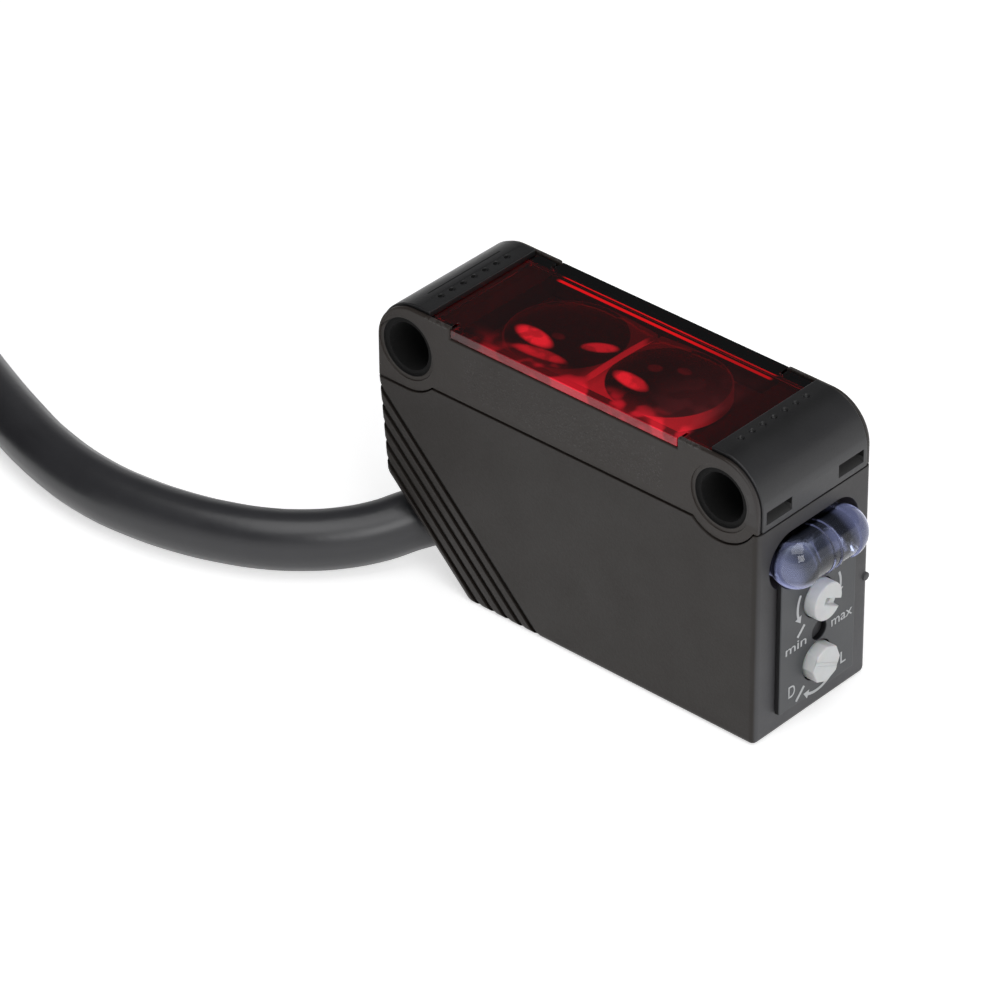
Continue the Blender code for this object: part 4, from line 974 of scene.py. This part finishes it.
def make_print():
    upper, lower = ((0, height) for height in ADJUSTERS)
    marks = [sweep_arrow("left_sweep", upper, 2.0, 150, 197),
             stroke("min_line", (-1.95, 6.6), (-1.3, 7.25)),
             sweep_arrow("right_sweep", upper, 2.1, 24, -10, 0.18),
             stroke("max_line", (1.3, 7.2), (1.75, 6.75)),
             lettering("min", -3.05, 5.75, 1.95, 0.62),
             lettering("max", 1.3, 5.68, 2.0, 0.5),
             lettering("D", -2.7, 2.42, 0.62, 0.85),
             lettering("L", 2.3, 2.4, 0.5, 0.85),
             stroke("d_line", (-1.95, 1.83), (-1.2, 2.62)),
             sweep_arrow("lower_sweep", lower, 2.3, 306, 250)]
    ink = marks[0]
    ink.name = "panel_print"
    shape = bmesh.new()
    for mark in marks:
        shape.from_mesh(mark.data)
    shape.to_mesh(ink.data)
    shape.free()
    for mark in marks[1:]:
        bpy.data.objects.remove(mark, do_unlink=True)
    ink.data.transform(ONTO_FRAME)
    ink.data.materials.append(white_ink())
    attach(ink, "sensor")


make_panel()
make_print()


# Lamps' window
# A smoky clear capsule, moulded solid with a foot that is pressed into the end face. Its thin
# waist has two ridges, and its round ends throw the light of the two lamps to all sides.
RIDGES, RIDGE_FOOT, RIDGE_TOP, RIDGE_STEP = (0.28, -0.36), 0.11, 0.06, 0.03
CAPSULE_X, WAIST, WAIST_STEP, FOOT = 16.1, 1.62, 0.12, 1.5


def smoky_plastic():
    clear = Finish("smoky clear", (0.23, 0.26, 0.38), 0.05, IOR=1.49, Transmission_Weight=0.94)
    where = clear.place()
    # Painted shade: the foot, pressed into the dark recess, is painted black so the glass looks
    # dark through it.
    foot = clear.axes(where)[0].rises(CAPSULE_X - 0.1, CAPSULE_X - 0.4)
    clear.set("Base Color", clear.blend(foot, (0.23, 0.26, 0.38), (0.002, 0.002, 0.003)))
    # Painted highlights, as emission: pale rims on the far round end and low on the near one.
    across, up = clear.axes(where)[1:]
    painted_rim = across.rises(2.7, 3.5) * 0.9 + across.rises(-1.9, -2.6) * up.rises(11.9, 11.0)
    clear.set("Emission Color", clear.blend(painted_rim, (0.0, 0.0, 0.0), (0.21, 0.22, 0.34)))
    clear.set("Emission Strength", 1.0)
    clear.bump(clear.noise(where, 1.2, 2.0), 0.01, 0.3)
    tint_shadow(clear, (0.7, 0.72, 0.82))
    return clear.material


def make_capsule():
    dome = arc((0, WINDOW_HALF), WINDOW_RADIUS, 90, 0, 20)
    profile = dome + [(WAIST, WINDOW_HALF - WAIST_STEP)]
    crest = WINDOW_RADIUS - RIDGE_STEP
    for ridge in RIDGES:
        profile += [(WAIST, ridge + RIDGE_FOOT), (crest, ridge + RIDGE_TOP),
                    (crest, ridge - RIDGE_TOP), (WAIST, ridge - RIDGE_FOOT)]
    profile.append((WAIST, WAIST_STEP - WINDOW_HALF))
    profile += [(radius, -height) for radius, height in reversed(dome)]
    shape = bmesh.new()
    line = [shape.verts.new((0 if abs(radius) < 1e-6 else radius, height, 0))
            for radius, height in profile]
    edges = [shape.edges.new(pair) for pair in zip(line, line[1:])]
    bmesh.ops.spin(shape, geom=line + edges, cent=(0, 0, 0), axis=(0, 1, 0), angle=math.tau,
                   steps=64, use_merge=True)
    bmesh.ops.remove_doubles(shape, verts=shape.verts, dist=0.0001)
    bmesh.ops.translate(shape, verts=shape.verts, vec=(CAPSULE_X, 0, WINDOW_Z))
    capsule = made("lamp_window", shape)
    foot = slab("foot", slot_outline(WINDOW_HALF, WINDOW_Z, FOOT), RECESS_FLOOR + 0.06,
                CAPSULE_X, 'X')
    carve(capsule, [foot], 'UNION')
    return fit(capsule, smoky_plastic(), "sensor", "smoky_clear", "indicator_window")


make_capsule()


# Adjusters
# Two white acetal screwdriver adjusters on round shafts. The upper one has a one-sided slot
# with a deeper eye in it, the lower one an eight-sided head with a shallow slot.
SHAFT_END, KNOB_TILT = 12.2, -27.0
SLOT_DEPTH, SLOT_BACK, SLOT_REACH, SLOT_HALF = 0.45, 0.35, 2.3, 0.25
EYE, EYE_OFF, EYE_DEPTH = 0.25, 0.5, 1.0
FAINT_DEPTH, FAINT_HALF = 0.04, 0.12


def white_acetal():
    finish = Finish("white acetal", (0.66, 0.675, 0.67), 0.42, Subsurface_Weight=0.15,
                    Subsurface_Scale=0.0004)
    where = finish.place()
    cloud = finish.noise(where, 1.2, 3.0)
    finish.set("Base Color", finish.blend(cloud, (0.80, 0.81, 0.81), (0.70, 0.715, 0.72)))
    finish.bump(finish.noise(where, 4.0, 3.0), 0.012, 0.5)
    return finish.material


def make_adjuster(name, body, node, height, sides, cutters):
    head = peg(name, KNOB, (PANEL_BACK + 0.05, 0, 0), (KNOB_FACE, 0, 0), sides)
    soften(head, 0.1, 4)
    carve(head, [peg("shaft", SHAFT, (SHAFT_END, 0, 0), (PANEL_BACK + 0.5, 0, 0))], 'UNION')
    for cutter in cutters:
        cutter.data.transform(Matrix.Rotation(math.radians(KNOB_TILT), 4, 'X'))
    carve(head, cutters)
    soften(head, 0.035, 2, 45)
    head.data.transform(Matrix.Translation((0, 0, height)))
    return fit(head, ACETAL, body, "white_plastic", node)


ACETAL = white_acetal()
make_adjuster("sensitivity_knob", "adjuster", "sensitivity_adjuster", ADJUSTERS[0], 64,
              [brick("slot", (KNOB_FACE - SLOT_DEPTH, -SLOT_BACK, -SLOT_HALF),
                     (KNOB_FACE + 1, SLOT_REACH, SLOT_HALF)),
               peg("eye", EYE, (KNOB_FACE - EYE_DEPTH, EYE_OFF, 0),
                   (KNOB_FACE + 1, EYE_OFF, 0), 24)])
make_adjuster("selector_knob", "selector", "operation_selector", ADJUSTERS[1], 8,
              [brick("slot", (KNOB_FACE - FAINT_DEPTH, -SLOT_REACH, -FAINT_HALF),
                     (KNOB_FACE + 1, SLOT_REACH, FAINT_HALF))])


# Inner pieces
# What the housing closes in keeps its plain solid: the boards, their chips and capacitors, the
# barrier and films behind the lenses, the lamps, the seals and the cable's end. The bush shows
# from outside and has the cable's own vinyl.
def plain_finish(name, first, second, roughness, metallic):
    finish = Finish(name, first, roughness, Metallic=metallic)
    where = finish.place()
    cloud = finish.noise(where, 1.5, 3.0)
    finish.set("Base Color", finish.blend(cloud, first, second))
    finish.set("Roughness", roughness + (cloud - 0.5) * 0.2)
    finish.bump(finish.noise(where, 6.0, 2.0), 0.01, 0.4)
    return finish.material


def dress(material, nodes):
    for node in nodes:
        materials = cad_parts[node].data.materials
        materials.clear()
        materials.append(material)


INNER = (
    ("solder resist", (0.015, 0.11, 0.045), (0.02, 0.15, 0.06), 0.4, 0.0,
     ("front_board", "main_board")),
    ("moulded epoxy", (0.02, 0.02, 0.022), (0.035, 0.035, 0.037), 0.45, 0.0,
     ("control_chip", "output_transistor", "supply_regulator", "receiver_chip")),
    ("tantalum", (0.65, 0.42, 0.08), (0.55, 0.34, 0.06), 0.4, 0.0,
     ("supply_capacitor", "filter_capacitor")),
    ("trimmer blue", (0.04, 0.11, 0.32), (0.05, 0.14, 0.38), 0.4, 0.0,
     ("sensitivity_trimmer", "selector_switch")),
    ("tin plate", (0.62, 0.62, 0.62), (0.5, 0.5, 0.5), 0.32, 1.0, ("receiver_shield",)),
    ("pale package", (0.75, 0.72, 0.62), (0.68, 0.65, 0.56), 0.3, 0.0, ("emitter_led",)),
    ("polarising film", (0.05, 0.05, 0.07), (0.04, 0.04, 0.055), 0.2, 0.0,
     ("emitter_polariser", "receiver_polariser")),
    ("black barrier", (0.022, 0.02, 0.02), (0.03, 0.028, 0.028), 0.6, 0.0, ("lens_holder",)),
    ("green lamp", (0.22, 0.5, 0.2), (0.3, 0.6, 0.26), 0.3, 0.0, ("stability_led",)),
    ("orange lamp", (0.75, 0.4, 0.14), (0.85, 0.5, 0.2), 0.3, 0.0, ("operation_led",)),
    ("nitrile", (0.02, 0.02, 0.02), (0.03, 0.03, 0.03), 0.7, 0.0,
     ("adjuster_seal", "selector_seal")),
    ("brown core", (0.2, 0.075, 0.03), (0.16, 0.06, 0.025), 0.4, 0.0, ("inner_core_brown",)),
    ("blue core", (0.02, 0.1, 0.5), (0.02, 0.08, 0.4), 0.4, 0.0, ("inner_core_blue",)),
    ("black core", (0.02, 0.02, 0.02), (0.03, 0.03, 0.03), 0.4, 0.0, ("inner_core_black",)))

for name, first, second, roughness, metallic, nodes in INNER:
    dress(plain_finish(name, first, second, roughness, metallic), nodes)
dress(VINYL, ("inner_sheath", "cable_bush"))


# Studio
# White paper lies under a wide soft box overhead and a smaller one to the right. The room is
# pale low down, less so on the cable's side, and dark above, so that flat tops reflect dark.
FLOOR_REACH, PAPER_LIGHT = 3000.0, 0.62
LAMP_AWAY = 600


def make_floor():
    shape = bmesh.new()
    bmesh.ops.create_circle(shape, cap_ends=True, segments=96, radius=FLOOR_REACH * MM)
    floor = made("floor", shape)
    paper = Finish("white paper", (0.75, 0.75, 0.75), 0.9, Specular_IOR_Level=0.0)
    seen = [paper.node('ShaderNodeLightPath', {}, {}, ray)
            for ray in ("Is Camera Ray", "Is Glossy Ray", "Is Transmission Ray")]
    lit = seen[0].most(seen[1]).most(seen[2])
    paper.set("Emission Color", paper.blend(lit, (0.0, 0.0, 0.0), (1.0, 1.0, 1.0)))
    paper.set("Emission Strength", PAPER_LIGHT)
    floor.data.materials.append(paper.material)


def make_room():
    world = bpy.data.worlds.new("room")
    world.use_nodes = True
    room = Nodes(world.node_tree)
    across, _, height = room.axes(room.node('ShaderNodeTexCoord', {}, {}, "Generated"))
    camera_ray = room.node('ShaderNodeLightPath', {}, {}, "Is Camera Ray")
    pale = height.rises(0.46, 0.26) * (across.rises(-0.9, 0.1) * 0.6 + 0.4)
    walls = room.blend(pale, (0.085, 0.087, 0.09), (0.9, 0.9, 0.9))
    background = world.node_tree.nodes["Background"]
    room.feed(background.inputs["Color"], room.blend(camera_ray, walls, (1.0, 1.0, 1.0)))
    bpy.context.scene.world = world


def soft_box(name, direction, size, power):
    """A square lamp that faces the sensor."""
    lamp = bpy.data.lights.new(name, 'AREA')
    lamp.shape = 'SQUARE'
    lamp.size = size * MM
    lamp.energy = power
    holder = bpy.data.objects.new(name, lamp)
    towards = Vector(direction).normalized()
    holder.location = (CAMERA_AIM + DATUM + towards * LAMP_AWAY) * MM
    holder.rotation_euler = towards.to_track_quat('Z', 'Y').to_euler()
    bpy.context.scene.collection.objects.link(holder)


make_floor()
make_room()
soft_box("overhead", (0.1, -0.1, 1.0), 500, 1.7)
soft_box("key", (0.85, -0.45, 0.8), 260, 0.9)
bpy.context.scene.view_settings.view_transform = 'Standard'
